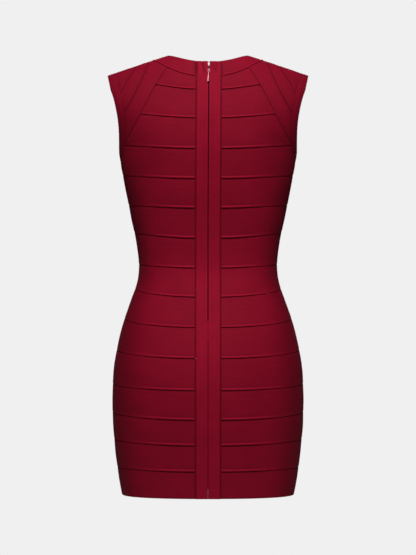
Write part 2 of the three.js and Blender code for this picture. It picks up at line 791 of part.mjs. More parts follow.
function stripDrops() {
  const notch = [NECK.backDrop, NECK.backDrop + NOTCH_DEPTH / 2, NECK.backDrop + NOTCH_DEPTH];
  const drops = [...notch, NECK_SEAM.backDrop];
  let above = NECK_SEAM.backDrop;
  BAND_EDGES.forEach(({ centreDrop }) => {
    drops.push((above + centreDrop) / 2, centreDrop);
    above = centreDrop;
  });
  return [...drops, ZIP_END_DROP].sort((a, b) => a - b);
}

function slitHalf(drop) {
  const closed = SEAM_GAP / 2;
  const open = ZIP_SLIT / 2;
  const notch = THREE.MathUtils.clamp(1 - (drop - NECK.backDrop) / NOTCH_DEPTH, 0, 1);
  const share = THREE.MathUtils.clamp((ZIP_END_DROP - drop) / SLIT_CLOSING, 0, 1);
  return mix(closed, open, share) + notch * (NOTCH_WIDTH - ZIP_SLIT) / 2;
}

function addStrips() {
  SIDES.forEach(([name, side]) => {
    const spots = stripDrops().map((drop) => {
      const inner = slitHalf(drop) - SEAM_GAP / 2;
      return [inner, STRIP_EDGE].map((across) => backSpot(side * across, drop));
    });
    addPart(`centre_strip_${name}`, wall(spots, raised), cloth);
  });
}

function addZipTapes() {
  const under = () => STRIP_LIFT - THICKNESS - SEAM_GAP;
  SIDES.forEach(([name, side]) => {
    const top = NECK.backDrop + NOTCH_DEPTH;
    const drops = stripDrops().filter((drop) => drop > top && drop < ZIP_END_DROP);
    const spots = [top, ...drops, ZIP_END_DROP + TAPE_TAIL].map((drop) => {
      return [0, TAPE_WIDTH].map((across) => backSpot(side * across, drop));
    });
    addPart(`zip_tape_${name}`, wall(spots, under, { thickness: TAPE_THICKNESS }), tape);
  });
}

function toManifold(geometry) {
  const bare = geometry.clone();
  bare.deleteAttribute('normal');
  bare.deleteAttribute('uv');
  const merged = mergeVertices(bare, MERGE_DISTANCE);
  const vertProperties = new Float32Array(merged.attributes.position.array);
  const triVerts = new Uint32Array(merged.index.array);
  return new wasm.Manifold(new wasm.Mesh({ numProp: 3, vertProperties, triVerts }));
}

function toGeometry(solid) {
  const { vertProperties, triVerts } = solid.getMesh();
  const geometry = new THREE.BufferGeometry();
  geometry.setAttribute('position', new THREE.Float32BufferAttribute(vertProperties, 3));
  geometry.setIndex([...triVerts]);
  geometry.computeVertexNormals();
  return geometry;
}

function block(width, depth, height, at) {
  return toManifold(new THREE.BoxGeometry(width, depth, height).translate(...at));
}

function plateOf(outline, depth) {
  return new THREE.ExtrudeGeometry(outline, { depth, bevelEnabled: false, curveSegments: CURVE_STEPS });
}

// The slider's own frame: X across, Y into the cloth and Z up along it.
function sliderFrame() {
  const { point, normal } = backSpot(0, SLIDER_DROP);
  const frame = new THREE.Group();
  frame.position.copy(point).addScaledVector(normal, STRIP_LIFT + SLIDER.lift);
  frame.rotation.x = Math.atan2(-normal.z, -normal.y);
  return frame;
}

function sliderBody() {
  const outline = new THREE.Shape();
  const halfLength = SLIDER.length / 2;
  outline.moveTo(-SLIDER.width / 2, halfLength);
  outline.lineTo(SLIDER.width / 2, halfLength);
  outline.quadraticCurveTo(SLIDER.waist / 2, 0, SLIDER.waist / 2, -halfLength);
  outline.lineTo(-SLIDER.waist / 2, -halfLength);
  outline.quadraticCurveTo(-SLIDER.waist / 2, 0, -SLIDER.width / 2, halfLength);
  return toManifold(plateOf(outline, SLIDER.height).rotateX(90 * DEGREE));
}

function addSlider(frame) {
  const face = -SLIDER.height;
  const arch = block(BAIL.width, BAIL.height, BAIL.length, [0, face - BAIL.height / 2 + BAIL.sink, 0]);
  const openDepth = BAIL.height - BAIL.bar;
  const openLength = BAIL.length - 2 * BAIL.post;
  const opening = block(BAIL.width * 2, openDepth, openLength, [0, face - openDepth / 2, 0]);
  const mesh = addPart('zip_slider', toGeometry(sliderBody().add(arch).subtract(opening)), enamel);
  mesh.position.copy(frame.position);
  mesh.rotation.copy(frame.rotation);
}

// The pull hangs from its eye's bar, which passes under the slider's bail.
function addPull(frame) {
  const outline = new THREE.Shape();
  const top = PULL.bar / 2;
  const half = PULL.eyeWidth / 2;
  const endRadius = PULL_END_WIDTH / 2;
  const endMiddle = -PULL.length + endRadius;
  const shoulder = -PULL.holeLength - PULL_TAPER.eye;
  const neck = PULL_NECK.halfWidth;
  const neckBend = -PULL_NECK.at + 1;
  outline.moveTo(-half + PULL_CORNER, top);
  outline.lineTo(half - PULL_CORNER, top);
  outline.quadraticCurveTo(half, top, half, top - PULL_CORNER);
  outline.bezierCurveTo(half, shoulder, neck, neckBend, neck, -PULL_NECK.at);
  outline.quadraticCurveTo(endRadius, endMiddle + PULL_TAPER.end, endRadius, endMiddle);
  outline.absarc(0, endMiddle, endRadius, 0, -Math.PI, true);
  outline.quadraticCurveTo(-endRadius, endMiddle + PULL_TAPER.end, -neck, -PULL_NECK.at);
  outline.bezierCurveTo(-neck, neckBend, -half, shoulder, -half, top - PULL_CORNER);
  outline.quadraticCurveTo(-half, top, -half + PULL_CORNER, top);
  const plate = plateOf(outline, PULL.thickness);
  plate.translate(0, 0, -PULL.thickness / 2).rotateX(90 * DEGREE);
  const holeMiddle = -PULL.bar / 2 - PULL.holeLength / 2;
  const hole = block(PULL.holeWidth, PULL.thickness * 2, PULL.holeLength, [0, 0, holeMiddle]);
  const mesh = addPart('zip_pull', toGeometry(toManifold(plate).subtract(hole)), enamel);
  const openDepth = BAIL.height - BAIL.bar;
  const axis = new THREE.Vector3(0, -SLIDER.height - openDepth / 2, 0).applyEuler(frame.rotation);
  mesh.position.copy(frame.position).add(axis);
  mesh.rotation.x = frame.rotation.x + PULL_LEAN * DEGREE;
}

addBackBands();
const neckMeeting = addFrontYoke();
addFrontBands(neckMeeting);
addNeckband();
addShoulderBands();
addArmholeBands();
addStrips();
addZipTapes();
const frame = sliderFrame();
addSlider(frame);
addPull(frame);

export default dress;
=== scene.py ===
"""A sleeveless bodycon dress made of wide knitted bands, in the hollow form it takes when worn."""

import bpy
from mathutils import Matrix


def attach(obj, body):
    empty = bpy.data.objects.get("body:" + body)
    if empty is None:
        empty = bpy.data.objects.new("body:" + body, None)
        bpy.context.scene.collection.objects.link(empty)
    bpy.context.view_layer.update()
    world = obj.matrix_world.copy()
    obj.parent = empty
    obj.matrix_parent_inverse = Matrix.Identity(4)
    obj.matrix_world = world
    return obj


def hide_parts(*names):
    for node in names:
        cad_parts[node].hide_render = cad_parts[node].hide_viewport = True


bl_info = {
    "name": "Banded bodycon dress",
    "version": (1, 0, 0),
    "blender": (4, 5, 0),
    "location": "3D View > Sidebar > Dress",
    "description": "Dresses the packed frame with knitted bands, strips and a zip",
    "category": "Object",
}

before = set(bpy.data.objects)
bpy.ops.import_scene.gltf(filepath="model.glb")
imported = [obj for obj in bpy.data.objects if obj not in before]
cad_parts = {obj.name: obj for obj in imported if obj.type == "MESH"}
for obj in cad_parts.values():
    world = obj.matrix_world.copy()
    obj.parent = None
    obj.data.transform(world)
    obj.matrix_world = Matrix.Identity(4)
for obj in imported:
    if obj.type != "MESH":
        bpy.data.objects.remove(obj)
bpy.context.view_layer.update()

import math

import bmesh
import bpy
from mathutils import Matrix, Vector, noise

# Sizes are in millimetres until a vertex is placed. +Y is the way the wearer faces.
MM = 0.001
BACK = -1
FRONT = 1
SIDES = (("left", -1), ("right", 1))
CREST = 90

# Neck and shoulders. A drop is the distance below the top of the shoulder, beside the neck.
SHOULDER_TOP = 16
SHOULDER_SLOPE = 0.345
NECK_ROUNDING = 30
CHEST_DROP = 195
NECK = {
    "half_width": 72,
    "back_drop": 14.2,
    "front_drop": 90,
    "back_fullness": 1.25,
    "front_fullness": 0.8,
}
NECK_SEAM = {
    "half_width": 99,
    "back_drop": 41.9,
    "front_drop": 124,
    "back_fullness": 1.11,
    "front_fullness": 0.8,
}

# Body sections: drop, half width, depth of the back, depth of the front, squareness
SECTION_COLUMNS = ("drop", "half_width", "back", "front", "squareness")
SECTIONS = [
    (-20, 214, 88, 84, 2.3),
    (60, 213, 95, 87, 2.3),
    (80, 205, 96, 92, 2.3),
    (98, 195, 97, 97, 2.3),
    (116, 184, 98, 102, 2.3),
    (134, 175, 98, 107, 2.3),
    (152, 167.5, 98, 112, 2.3),
    (172, 161.5, 97, 117, 2.3),
    (195, 157.6, 95, 122, 2.3),
    (225, 152, 92, 125.5, 2.3),
    (252, 146.6, 89, 125, 2.3),
    (297, 137.7, 82, 114, 2.3),
    (340, 128.6, 77, 101, 2.3),
    (379, 124.6, 76, 93, 2.3),
    (406, 126.9, 80, 92.5, 2.3),
    (442, 138.6, 90, 96, 2.35),
    (478, 151.3, 101, 100, 2.4),
    (514, 160.7, 110, 103, 2.4),
    (560, 169.2, 118, 104, 2.4),
    (610, 172.1, 120, 104, 2.4),
    (660, 171.4, 116, 103, 2.4),
    (713, 167.1, 109, 101, 2.4),
    (760, 160.9, 103, 99, 2.4),
    (800, 153.6, 99, 97, 2.4),
]

# Lower edges of the horizontal bands: drop at the centre, and how much less it is at the side
BAND_EDGES = [
    (67, 54),
    (118.6, 27),
    (172.9, 15),
    (225.9, 12),
    (277.9, 10),
    (331.5, 15),
    (384.5, 9),
    (436.5, 18),
    (489.9, 18),
    (544.2, 16),
    (600.2, 10),
    (652.4, 12),
    (697.8, 9),
    (744.3, 4),
    (793.3, 0),
]
EDGE_BEND = 2.5
FIRST_SIDE_BAND = 3
FIRST_FRONT_BAND = 2

# Seams of the bands that cross the shoulder, as distance across and drop
INNER_START_ACROSS = 72.6
FRONT_INNER_START_ACROSS = 88
INNER_DIAGONAL = [(94.2, 57.9), (112.8, 94.5), (126.2, 121.3)]
MIDDLE_DIAGONAL = [(102.5, 9.9), (116.2, 38.3), (132.8, 75.4)]
OUTER_DIAGONAL = [(130.5, 19.2), (134.6, 29.4), (145.5, 47.4)]
INNER_END_DROP = 164.5
MIDDLE_END_DROP = 106.6
OUTER_END_DROP = 72

# The armhole's edge and its band's seam, as the angle from the centre line and the drop
ARMHOLE_EDGE = [
    (72.9, 36.6),
    (72.2, 44),
    (71.0, 62),
    (70.3, 80),
    (70.5, 98),
    (71.7, 116),
    (73.9, 134),
    (77.0, 150),
    (80.6, 163),
    (85.2, 173),
    (90, 177),
]
ARMHOLE_SEAM = [
    (69.4, 32.2),
    (68.2, 43),
    (66.9, 60),
    (66.0, 80),
    (65.8, 100),
    (66.7, 120),
    (68.5, 140),
    (71.3, 157),
    (75.3, 172),
    (81.6, 185),
    (90, 191),
]

# Centre back strips, with the slit of the zip between them and a notch at the neck
STRIP_EDGE = 22.2
ZIP_SLIT = 1.7
SHUT_SLIT = 0.08
ZIP_END_DROP = 481
SLIT_CLOSING = 4
NOTCH_WIDTH = 3.4
NOTCH_DEPTH = 7.5
NOTCH_CURVE = 0.35
HEM_DROP = 793.3

# The top of the zip is worn a little to one side: how far, and where that fades across and down
OFF_CENTRE = {"shift": 1.5, "fade": 45, "drop": 330}

# Zip
TAPE_WIDTH = 12
TAPE_LIFT = -0.9
TAPE_TAIL = 8
TAPE_GAP = 0.03
COIL = {"pitch": 1.6, "length": 1.5, "height": 0.9, "thickness": 0.8, "start": 38, "lift": -0.75}
COIL_SPLIT = 0.3
COIL_BEVEL = 0.18
SLIDER_DROP = 34
SLIDER_LIFT = 1.8
# Painted shade on the slider: its enamel is darker than the pull's
SLIDER_SHADE = 0.6
SLIDER = {"width": 4.6, "waist": 3.6, "length": 8.8, "height": 2.1, "bevel": 0.55}
SLIDER_CORNER = 0.55
NECK_BLOCK = {"width": 1.1, "length": 5, "height": 3.2}
BAIL = {"length": 4.2, "height": 2.2, "wire": 0.5}
PULL_PIVOT = -3.1
PULL_LEAN = 4
PULL_SWAY = 4
PULL_EYE = {"half_width": 1.25, "length": 3.9, "wire": 0.32}
EYE_CORNER = 0.6
EYE_STEPS = 28
PULL_DROP = {"start": 3.6, "end": 23.4, "neck": 0.6, "widest": 1.1, "thickness": 0.8, "bevel": 0.25}
PULL_SWELL = 0.75
PULL_ROUNDING = 0.12
PULL_CORNERS = 56
HOOK = {"drop": 16.6, "reach": 3.6, "lift": 1.2, "sink": 1.4, "wire": 0.6}
HOOK_STEPS = 12

# Edge profiles, from the cloth inwards to the edge: distance from the edge, lift of the outer
# face, and painted shading, which is 1 for painted shade in the shadow of a seam and -1 for a
# painted highlight on the crest of a rolled edge.
LAP_OUTER = [
    (7.2, 0.64, 0.0),
    (5.6, 0.60, 0.0),
    (4.6, 0.46, 0.30),
    (3.7, 0.74, 0.0),
    (2.8, 1.30, -0.6),
    (1.9, 1.66, -1.0),
    (1.1, 1.62, -1.0),
    (0.45, 1.2, -0.2),
    (0.0, 0.5, 0.8),
]
LAP_INNER = [(0.3, 0.02, 1.0), (1.4, -0.14, 1.0), (4.0, -0.34, 0.8)]
UNDER_OUTER = [
    (8.0, 0.42, 0.0),
    (5.0, 0.34, 0.05),
    (3.2, 0.20, 0.2),
    (1.9, 0.02, 0.45),
    (0.9, -0.18, 0.8),
    (0.3, -0.30, 1.0),
    (-0.4, -0.42, 1.0),
    (-1.5, -0.58, 1.0),
    (-3.5, -0.78, 1.0),
]
UNDER_INNER = [(-3.5, -1.8, 1.0), (-1.5, -1.7, 1.0), (4.0, -1.3, 0.6)]
FREE_OUTER = [
    (8.0, 0.55, 0.0),
    (6.2, 0.55, 0.0),
    (4.4, 0.55, 0.0),
    (3.2, 0.54, 0.0),
    (2.1, 0.48, 0.0),
    (1.2, 0.30, 0.2),
    (0.5, -0.02, 0.6),
    (0.12, -0.40, 0.9),
    (0.0, -0.78, 1.0),
]
FREE_INNER = [(0.25, -1.2, 0.3), (1.2, -1.5, 0.4), (4.0, -1.6, 0.4)]
FLAT_LIFT = 0.5
FLAT_ROWS = [(distance, FLAT_LIFT, 0.0) for distance, _, _ in LAP_OUTER]
FLUSH_OUTER = FLAT_ROWS[:-2] + [
    (0.45, 0.42, 0.0),
    (0.0, 0.15, 0.2),
]
SEAM_OUTER = FLAT_ROWS[:-4] + [
    (1.9, 0.46, 0.4),
    (1.1, 0.34, 0.95),
    (0.45, 0.05, 1.0),
    (0.0, -0.3, 1.0),
]
TUCK_OUTER = [
    (8.0, 0.46, 0.0),
    (5.0, 0.44, 0.0),
    (3.2, 0.40, 0.0),
    (1.9, 0.34, 0.0),
    (0.9, 0.24, 0.05),
    (0.3, 0.14, 0.1),
    (-0.4, 0.02, 0.2),
    (-1.5, -0.30, 0.5),
    (-3.5, -0.72, 1.0),
]
EDGES = {
    "lap": (LAP_OUTER, LAP_INNER),
    "under": (UNDER_OUTER, UNDER_INNER),
    "free": (FREE_OUTER, FREE_INNER),
    "flush": (FLUSH_OUTER, LAP_INNER),
    "tuck": (TUCK_OUTER, UNDER_INNER),
    "seam": (SEAM_OUTER, LAP_INNER),
    "tape": ([(1.0, 0.0, 0.0), (0.3, 0.0, 0.0), (0.0, -0.2, 0.0)], [(0.0, -0.7, 0.0), (0.5, -0.9, 0.0)]),
}

# Upright ribs beside the zip: where the first one is from the slit, their spacing, how far they
# go and fade, and their painted highlight on the crest and painted shade in the dip
RIBS = {"first": 2.9, "pitch": 3.35, "reach": 13, "fade": 4, "step": 0.45, "rim": 1.3}
RIB_HEIGHT = 0.16
RIB_PAINTED_SHADING = {"crest": -0.7, "dip": -0.55}


def slit_edge(height, rim):
    """Rows of ribs along the zip's slit, ended by the given rim."""
    rows = []
    count = round((RIBS["reach"] - RIBS["rim"]) / RIBS["step"])
    for row in range(count):
        distance = RIBS["reach"] - row * RIBS["step"]
        fade = min((RIBS["reach"] - distance) / RIBS["fade"], 1)
        wave = math.cos(math.tau * (distance - RIBS["first"]) / RIBS["pitch"]) * fade
        painted_shading = RIB_PAINTED_SHADING["crest" if wave > 0 else "dip"] * wave * min(height / RIB_HEIGHT, 1)
        rows.append((distance, FLAT_LIFT + height * wave, painted_shading))
    return rows + rim


# The strips' edges at the zip: height of the ribs, and the rows of the rim
ZIP_EDGES = {
    "slit": (RIB_HEIGHT, [(1.2, 0.66, -0.9), (0.6, 0.5, -0.8), (0.2, 0.0, 0.3), (0.0, -0.6, 0.9)]),
    "closed": (0.04, [(1.2, 0.52, 0.0), (0.6, 0.5, 0.1), (0.2, 0.42, 0.25), (0.0, 0.3, 0.5)]),
    "groove": (0.04, [(1.2, 0.48, 0.1), (0.6, 0.25, 0.5), (0.2, -0.05, 0.9), (0.0, -0.5, 1.0)]),
}
for kind, (rib_height, rim_rows) in ZIP_EDGES.items():
    EDGES[kind] = (slit_edge(rib_height, rim_rows), FREE_INNER)

# Below the zip's end the slit shuts, and a groove opens after the closed length.
CLOSED_LENGTH = 30
SHUTTING = {"lead": 5, "length": 8, "groove_length": 10}

# Puckers at the top of the zip: distance across at the neck edge and at the lower end, drop of
# the lower end, width, and height, which is less than 0 for a trough
PUCKERS = [
    (-27, -26, 34, 2.4, -0.6),
    (-22.5, -21.5, 36, 2.2, -1.0),
    (-17, -15, 44, 2.6, 0.7),
    (-12, -6.5, 38, 1.9, -1.25),
    (-6, -4, 30, 1.6, 0.55),
    (6.5, 8.5, 33, 1.7, -1.05),
    (10.5, 11, 40, 1.8, 0.65),
    (14.5, 12.5, 36, 2.0, -1.1),
    (19, 18.5, 30, 2.2, -0.6),
    (27, 26, 32, 2.6, -0.4),
]
PUCKER_AREA = {"across": 40, "drop": 60}
PUCKER_RUN_ON = 1.4
PUCKER_END = {"past": 6, "length": 12}
PUCKER_CALM = {"share": 0.3, "length": 5}
PUCKER_SHADE = {"share": 0.6, "least": -0.35, "most": 0.8}

# Painted shade round the sides: where the face turns away and how far down it starts
SIDE_SHADE = {"turn": 0.4, "span": 0.5, "drop": 190, "fade": 60, "share": 0.6}

# The cloth between two edges: the width that both edge profiles need, where its rows are, how
# much it bulges, its painted shade inside, and the lift above which a rolled edge is scaled
EDGE_ROOM = 17
MIDDLE_SHARES = (0.2, 0.4, 0.6, 0.8)
INNER_SHARES = (0.33, 0.66)
CROWN_LIFT = 0.22
INNER_PAINTED_SHADE = 0.3
BEAD_FOOT = 0.7

# Near its end, or where it is narrow, a piece sinks under its neighbour, with painted shade on the sunk part.
SINK_LENGTH = 2.4
PINCH_WIDTH = 5
SUNK_OUTER = -0.35
SUNK_INNER = -0.9
SUNK_PAINTED_SHADE = 0.95
FAR = 99.0

# The rolled edges flatten, and the painted shade of their seams weakens, towards the sides of the body, in
# degrees from the centre line.
BEAD_FADE = {"start": 30, "length": 38, "share": 0.95, "shadow": 0.2}

# Unevenness of the cloth, and more of it on the rolled edges
WANDER = {"broad": 34, "fine": 11, "fine_share": 0.3}
BEAD_WANDER = {"above": 0.9, "spread": 7, "size": 0.16}

# Steps along and across the pieces, and how their ends meet the pieces beside them
NUDGE = 0.05
LINE_PARTS = 6
LEAST_WIDTH = 0.01
LEAST_RATE = 0.5
MERGE_DISTANCE = 1e-7
NEAR_STRIP = (19.7, 21.6, 22.4, 23.2, 24.2, 25.4, 27.2)
NEAR_SEAM = (0.0, 0.25, 0.6, 1.0, 1.6)
PAST_STRIP = 3
BAND_STEP = 2.4
YOKE_STEP = 1.5
LENGTH_PER_DEGREE = 2.4
SIDE_OVERLAP = 0.8
NECK_FIRST_SHARES = (0, 0.008, 0.016, 0.025, 0.035)
NECK_STEP = 0.018
NECK_OVERLAP = 2.5
SHOULDER_STEP = 0.03
SHOULDER_LAST_SHARES = (0.955, 0.975, 0.99, 1)
SHOULDER_LENGTH = 110
ARMHOLE_LINES = 44
ARMHOLE_CROWN = 0.3
STRIP_STEP = 5.0
NOTCH_STEP = 0.9
HEM_GAPS = (2.4, 1.2, 0.5, 0)
STRIP_END = {"rate": 1.2, "least": 1.4}
STRIP_SEAM = {"least": 0.5, "lead": 2, "length": 3}
TIP_WIDTH = 0.5
LEAST_AREA_SHARE = 0.31

# How the seams of the shoulder bands and the armhole bands come in below the crest, as shares of
# the band's length
SEAM_GROWTH = {"outer": 0.2, "outer_strength": 0.9, "lead": 0.05, "inner": 0.15}
TURN_SHARE = 4 / 11
TURN_GROWTH = {"lead": 0.02, "length": 0.05}
ARMHOLE_GROWTH = {"length": 0.25, "strength": 0.8}

# Where the outer and the inner seam of a shoulder band start, and how strong the inner one gets
SHOULDER_SEAMS = {
    "inner": {"outer_start": 0.02, "inner_start": 0.0, "strength": 1},
    "middle": {"outer_start": 0.02, "inner_start": 0.0, "strength": 1},
    "outer": {"outer_start": 0.4, "inner_start": 0.2, "strength": 0.6},
}


def mix(start, end, share):
    return start + (end - start) * share


def clamp(value, low=0.0, high=1.0):
    return max(low, min(high, value))


def smooth(share):
    share = clamp(share)
    return share * share * (3 - 2 * share)


def squared_off(value, power):
    """A sine or cosine raised to a power, with its sign kept, which squares a circle's corners."""
    return math.copysign(abs(value) ** power, value)


def path_length(points):
    return sum((after - before).length for before, after in zip(points, points[1:]))


def sine(degrees):
    return math.sin(math.radians(degrees))


def cosine(degrees):
    return math.cos(math.radians(degrees))


# Body surface


def column(name, drop):
    """A smooth curve through one column of the sections."""
    at = SECTION_COLUMNS.index(name)
    last = len(SECTIONS) - 1
    low = 0
    while low < last - 1 and SECTIONS[low + 1][0] <= drop:
        low += 1

    def slope(row):
        before = SECTIONS[max(row - 1, 0)]
        after = SECTIONS[min(row + 1, last)]
        return (after[at] - before[at]) / (after[0] - before[0])

    start, end = SECTIONS[low], SECTIONS[low + 1]
    span = end[0] - start[0]
    t = clamp((drop - start[0]) / span)
    leave = t * (1 - t) ** 2 * span * slope(low)
    arrive = t * t * (t - 1) * span * slope(low + 1)
    return mix(start[at], end[at], smooth(t)) + leave + arrive


SECTION_STEP = 0.5
FIRST_DROP = -20
section_rows = {}


def section(face, drop):
    """Half width, depth and squareness at a drop, between rows worked out once."""
    place = (drop - FIRST_DROP) / SECTION_STEP
    row = math.floor(place)
    values = []
    for near in (row, row + 1):
        if (face, near) not in section_rows:
            at = FIRST_DROP + near * SECTION_STEP
            depth = column("back" if face == BACK else "front", at)
            section_rows[face, near] = (column("half_width", at), depth, column("squareness", at))
        values.append(section_rows[face, near])
    share = place - row
    return [mix(a, b, share) for a, b in zip(*values)]


def depth_at(face, across, drop):
    half_width, depth, squareness = section(face, drop)
    share = min(abs(across) / half_width, 1)
    return depth * (1 - share**squareness) ** (1 / squareness)


def reach_at(face, angle, drop):
    """Distance from the middle of the body to its surface, at an angle from the centre line."""
    half_width, depth, squareness = section(face, drop)
    bend = (abs(sine(angle)) / half_width) ** squareness + (abs(cosine(angle)) / depth) ** squareness
    return bend ** (-1 / squareness)


def across_at(face, angle, drop):
    return sine(angle) * reach_at(face, angle, drop)


def angle_at(face, across, drop):
    return math.degrees(math.atan2(across, depth_at(face, across, drop)))


def crest_drop(across):
    rise = math.hypot(across, NECK_ROUNDING) - math.hypot(NECK["half_width"], NECK_ROUNDING)
    return SHOULDER_SLOPE * rise


def rise_at(across, drop):
    """0 degrees at the chest line of the back, 90 at the crest of the shoulder."""
    share = (CHEST_DROP - drop) / (CHEST_DROP - crest_drop(across))
    return math.degrees(math.asin(clamp(share, -1)))


def drop_at_rise(across, rise):
    return CHEST_DROP - (CHEST_DROP - crest_drop(across)) * sine(rise)


def on_crown(across, rise):
    drop = drop_at_rise(across, rise)
    face = FRONT if rise > CREST else BACK
    return Vector((across, face * abs(cosine(rise)) * depth_at(face, across, drop), SHOULDER_TOP - drop))


def curl_at(across, drop):
    return cosine(rise_at(across, drop)) if drop < CHEST_DROP else 1


def on_face(face):
    """Places a distance across and a drop on the back or the front."""

    def locate(across, drop):
        depth = curl_at(across, drop) * depth_at(face, across, drop)
        return Vector((across, face * depth, SHOULDER_TOP - drop))

    return locate


def on_side(face):
    """Places an angle from the centre line and a drop on the back or the front."""

    def locate(angle, drop):
        reach = reach_at(face, angle, drop)
        across = reach * sine(angle)
        outward = reach * cosine(angle) * curl_at(across, drop)
        return Vector((across, face * outward, SHOULDER_TOP - drop))

    return locate


def spot(locate, first, second):
    """A point of the body surface and its outward normal."""
    point = locate(first, second)
    along = locate(first + NUDGE, second) - locate(first - NUDGE, second)
    down = locate(first, second + NUDGE) - locate(first, second - NUDGE)
    normal = along.cross(down).normalized()
    core = Vector((0, 0, min(point.z, SHOULDER_TOP - CHEST_DROP)))
    if normal.dot(point - core) < 0:
        normal.negate()
    return point, normal


# Seam curves


def curve_through(places):
    """A smooth curve through pairs of values, for a share from 0 to 1."""
    points = [Vector(place) for place in places]
    last = len(points) - 1

    def tangent(before, middle, after, gap_before, gap_after):
        rising = (middle - before) / gap_before
        whole = (after - before) / (gap_before + gap_after)
        return rising - whole + (after - middle) / gap_after

    def at(share):
        place = clamp(share) * last
        low = min(math.floor(place), last - 1)
        t = place - low
        start, end = points[low], points[low + 1]
        before = points[low - 1] if low > 0 else 2 * points[0] - points[1]
        after = points[low + 2] if low + 2 <= last else 2 * points[last] - points[last - 1]
        gaps = [math.sqrt((b - a).length) for a, b in ((before, start), (start, end), (end, after))]
        leave = tangent(before, start, end, gaps[0], gaps[1]) * gaps[1]
        arrive = tangent(start, end, after, gaps[1], gaps[2]) * gaps[1]
        blend = start + (end - start) * smooth(t)
        return tuple(blend + leave * (t * (1 - t) ** 2) + arrive * (t * t * (t - 1)))

    return at


def share_where(measure, passes=32):
    """The share of a curve where a measure of it reaches zero."""
    low, high = 0.0, 1.0
    rising = measure(1) > measure(0)
    for _ in range(passes):
        middle = (low + high) / 2
        if (measure(middle) > 0) == rising:
            high = middle
        else:
            low = middle
    return (low + high) / 2


def armhole_curve(rows):
    """Kept as an angle and a rise, so that it crosses the crest smoothly."""
    places = []
    for angle, drop in rows:
        across = across_at(BACK, angle, drop)
        places.append((angle, rise_at(across, max(drop, crest_drop(across)))))
    places[0] = (places[0][0], CREST)
    return curve_through(places)


def settle(angle, rise):
    """Turns an angle and a rise into a distance across and a drop."""
    drop = CHEST_DROP * (1 - sine(rise))
    across = 0
    for _ in range(12):
        across = across_at(BACK, angle, drop)
        drop = drop_at_rise(across, rise)
    return across, drop


armhole_edge = armhole_curve(ARMHOLE_EDGE)
armhole_seam = armhole_curve(ARMHOLE_SEAM)


def seam_share_at_drop(drop):
    return share_where(lambda share: settle(*armhole_seam(share))[1] - drop)


def neck_curve(shape, turn):
    """Runs from 0 at the centre back to 180 degrees at the centre front."""
    across = shape["half_width"] * sine(turn)
    reach = abs(cosine(turn))
    face = "back" if turn < CREST else "front"
    centre_rise = rise_at(0, shape[face + "_drop"])
    rise = CREST - (CREST - centre_rise) * reach ** shape[face + "_fullness"]
    return across, rise if face == "back" else 180 - rise


def neck_seam_drop(face, across):
    turn = math.degrees(math.asin(clamp(abs(across) / NECK_SEAM["half_width"])))
    _, rise = neck_curve(NECK_SEAM, turn if face == BACK else 180 - turn)
    return drop_at_rise(across, rise)


def diagonal(rows, end_drop):
    """A seam from its table to the armhole seam, as distance across and rise."""
    places = [*rows, settle(*armhole_seam(seam_share_at_drop(end_drop)))]
    rises = [(across, rise_at(across, max(drop, crest_drop(across)))) for across, drop in places]
    return curve_through(rises)


def inner_diagonal_on(face, start_across, rows):
    return diagonal([(start_across, neck_seam_drop(face, start_across)), *rows], INNER_END_DROP)


INNER = {
    BACK: inner_diagonal_on(BACK, INNER_START_ACROSS, INNER_DIAGONAL),
    FRONT: inner_diagonal_on(FRONT, FRONT_INNER_START_ACROSS, INNER_DIAGONAL[1:]),
}
middle_diagonal = diagonal(MIDDLE_DIAGONAL, MIDDLE_END_DROP)
outer_diagonal = diagonal(OUTER_DIAGONAL, OUTER_END_DROP)


def band_edge_drop(number, angle):
    centre_drop, side_rise = BAND_EDGES[number]
    return centre_drop - side_rise * (abs(angle) / 90) ** EDGE_BEND


def yoke_drop(face, angle):
    """Where the cloth goes under the neckband or the inner shoulder band."""
    drop = CHEST_DROP / 2
    for _ in range(8):
        across = abs(across_at(face, angle, drop))
        if across <= INNER[face](0)[0]:
            drop = neck_seam_drop(face, across)
        else:
            share = share_where(lambda s: INNER[face](s)[0] - across)
            drop = drop_at_rise(*INNER[face](share))
    return drop


def diagonal_place(face, share):
    across, rise = INNER[face](share)
    drop = drop_at_rise(across, rise)
    return angle_at(face, across, drop), drop


def diagonal_angle(face, number):
    """The angle where the inner diagonal meets the lower edge of a band."""

    def above(share):
        angle, drop = diagonal_place(face, share)
        return drop - band_edge_drop(number, angle)

    return diagonal_place(face, share_where(above))[0]


def armhole_start_angle(face):
    return angle_at(face, *settle(*armhole_seam(seam_share_at_drop(INNER_END_DROP))))


def armhole_seam_drop(face, angle):
    start = seam_share_at_drop(INNER_END_DROP)

    def place(share):
        return settle(*armhole_seam(mix(start, 1, share)))

    return place(share_where(lambda share: angle_at(face, *place(share)) - angle))[1]


def upper_drop(face, number, angle):
    """The seam line along the top of a horizontal band."""
    if number > FIRST_SIDE_BAND:
        return band_edge_drop(number - 1, angle)
    if number == FIRST_SIDE_BAND:
        if abs(angle) <= armhole_start_angle(face):
            return band_edge_drop(number - 1, angle)
        return armhole_seam_drop(face, abs(angle))
    yoke = yoke_drop(face, angle)
    return yoke if number == 0 else max(yoke, band_edge_drop(number - 1, angle))


# Knitted pieces


def wander(point, spread, size):
    """A soft uneven height, the same for every piece at one place."""
    return noise.noise(Vector(point) / spread) * size


def unevenness(point, lift, ripple):
    """Adds the cloth's unevenness to a lift."""
    broad = wander(point, WANDER["broad"], ripple)
    fine = wander(point, WANDER["fine"], ripple * WANDER["fine_share"])
    lift += broad + fine
    if lift > BEAD_WANDER["above"]:
        lift += wander(point, BEAD_WANDER["spread"], BEAD_WANDER["size"])
    return lift


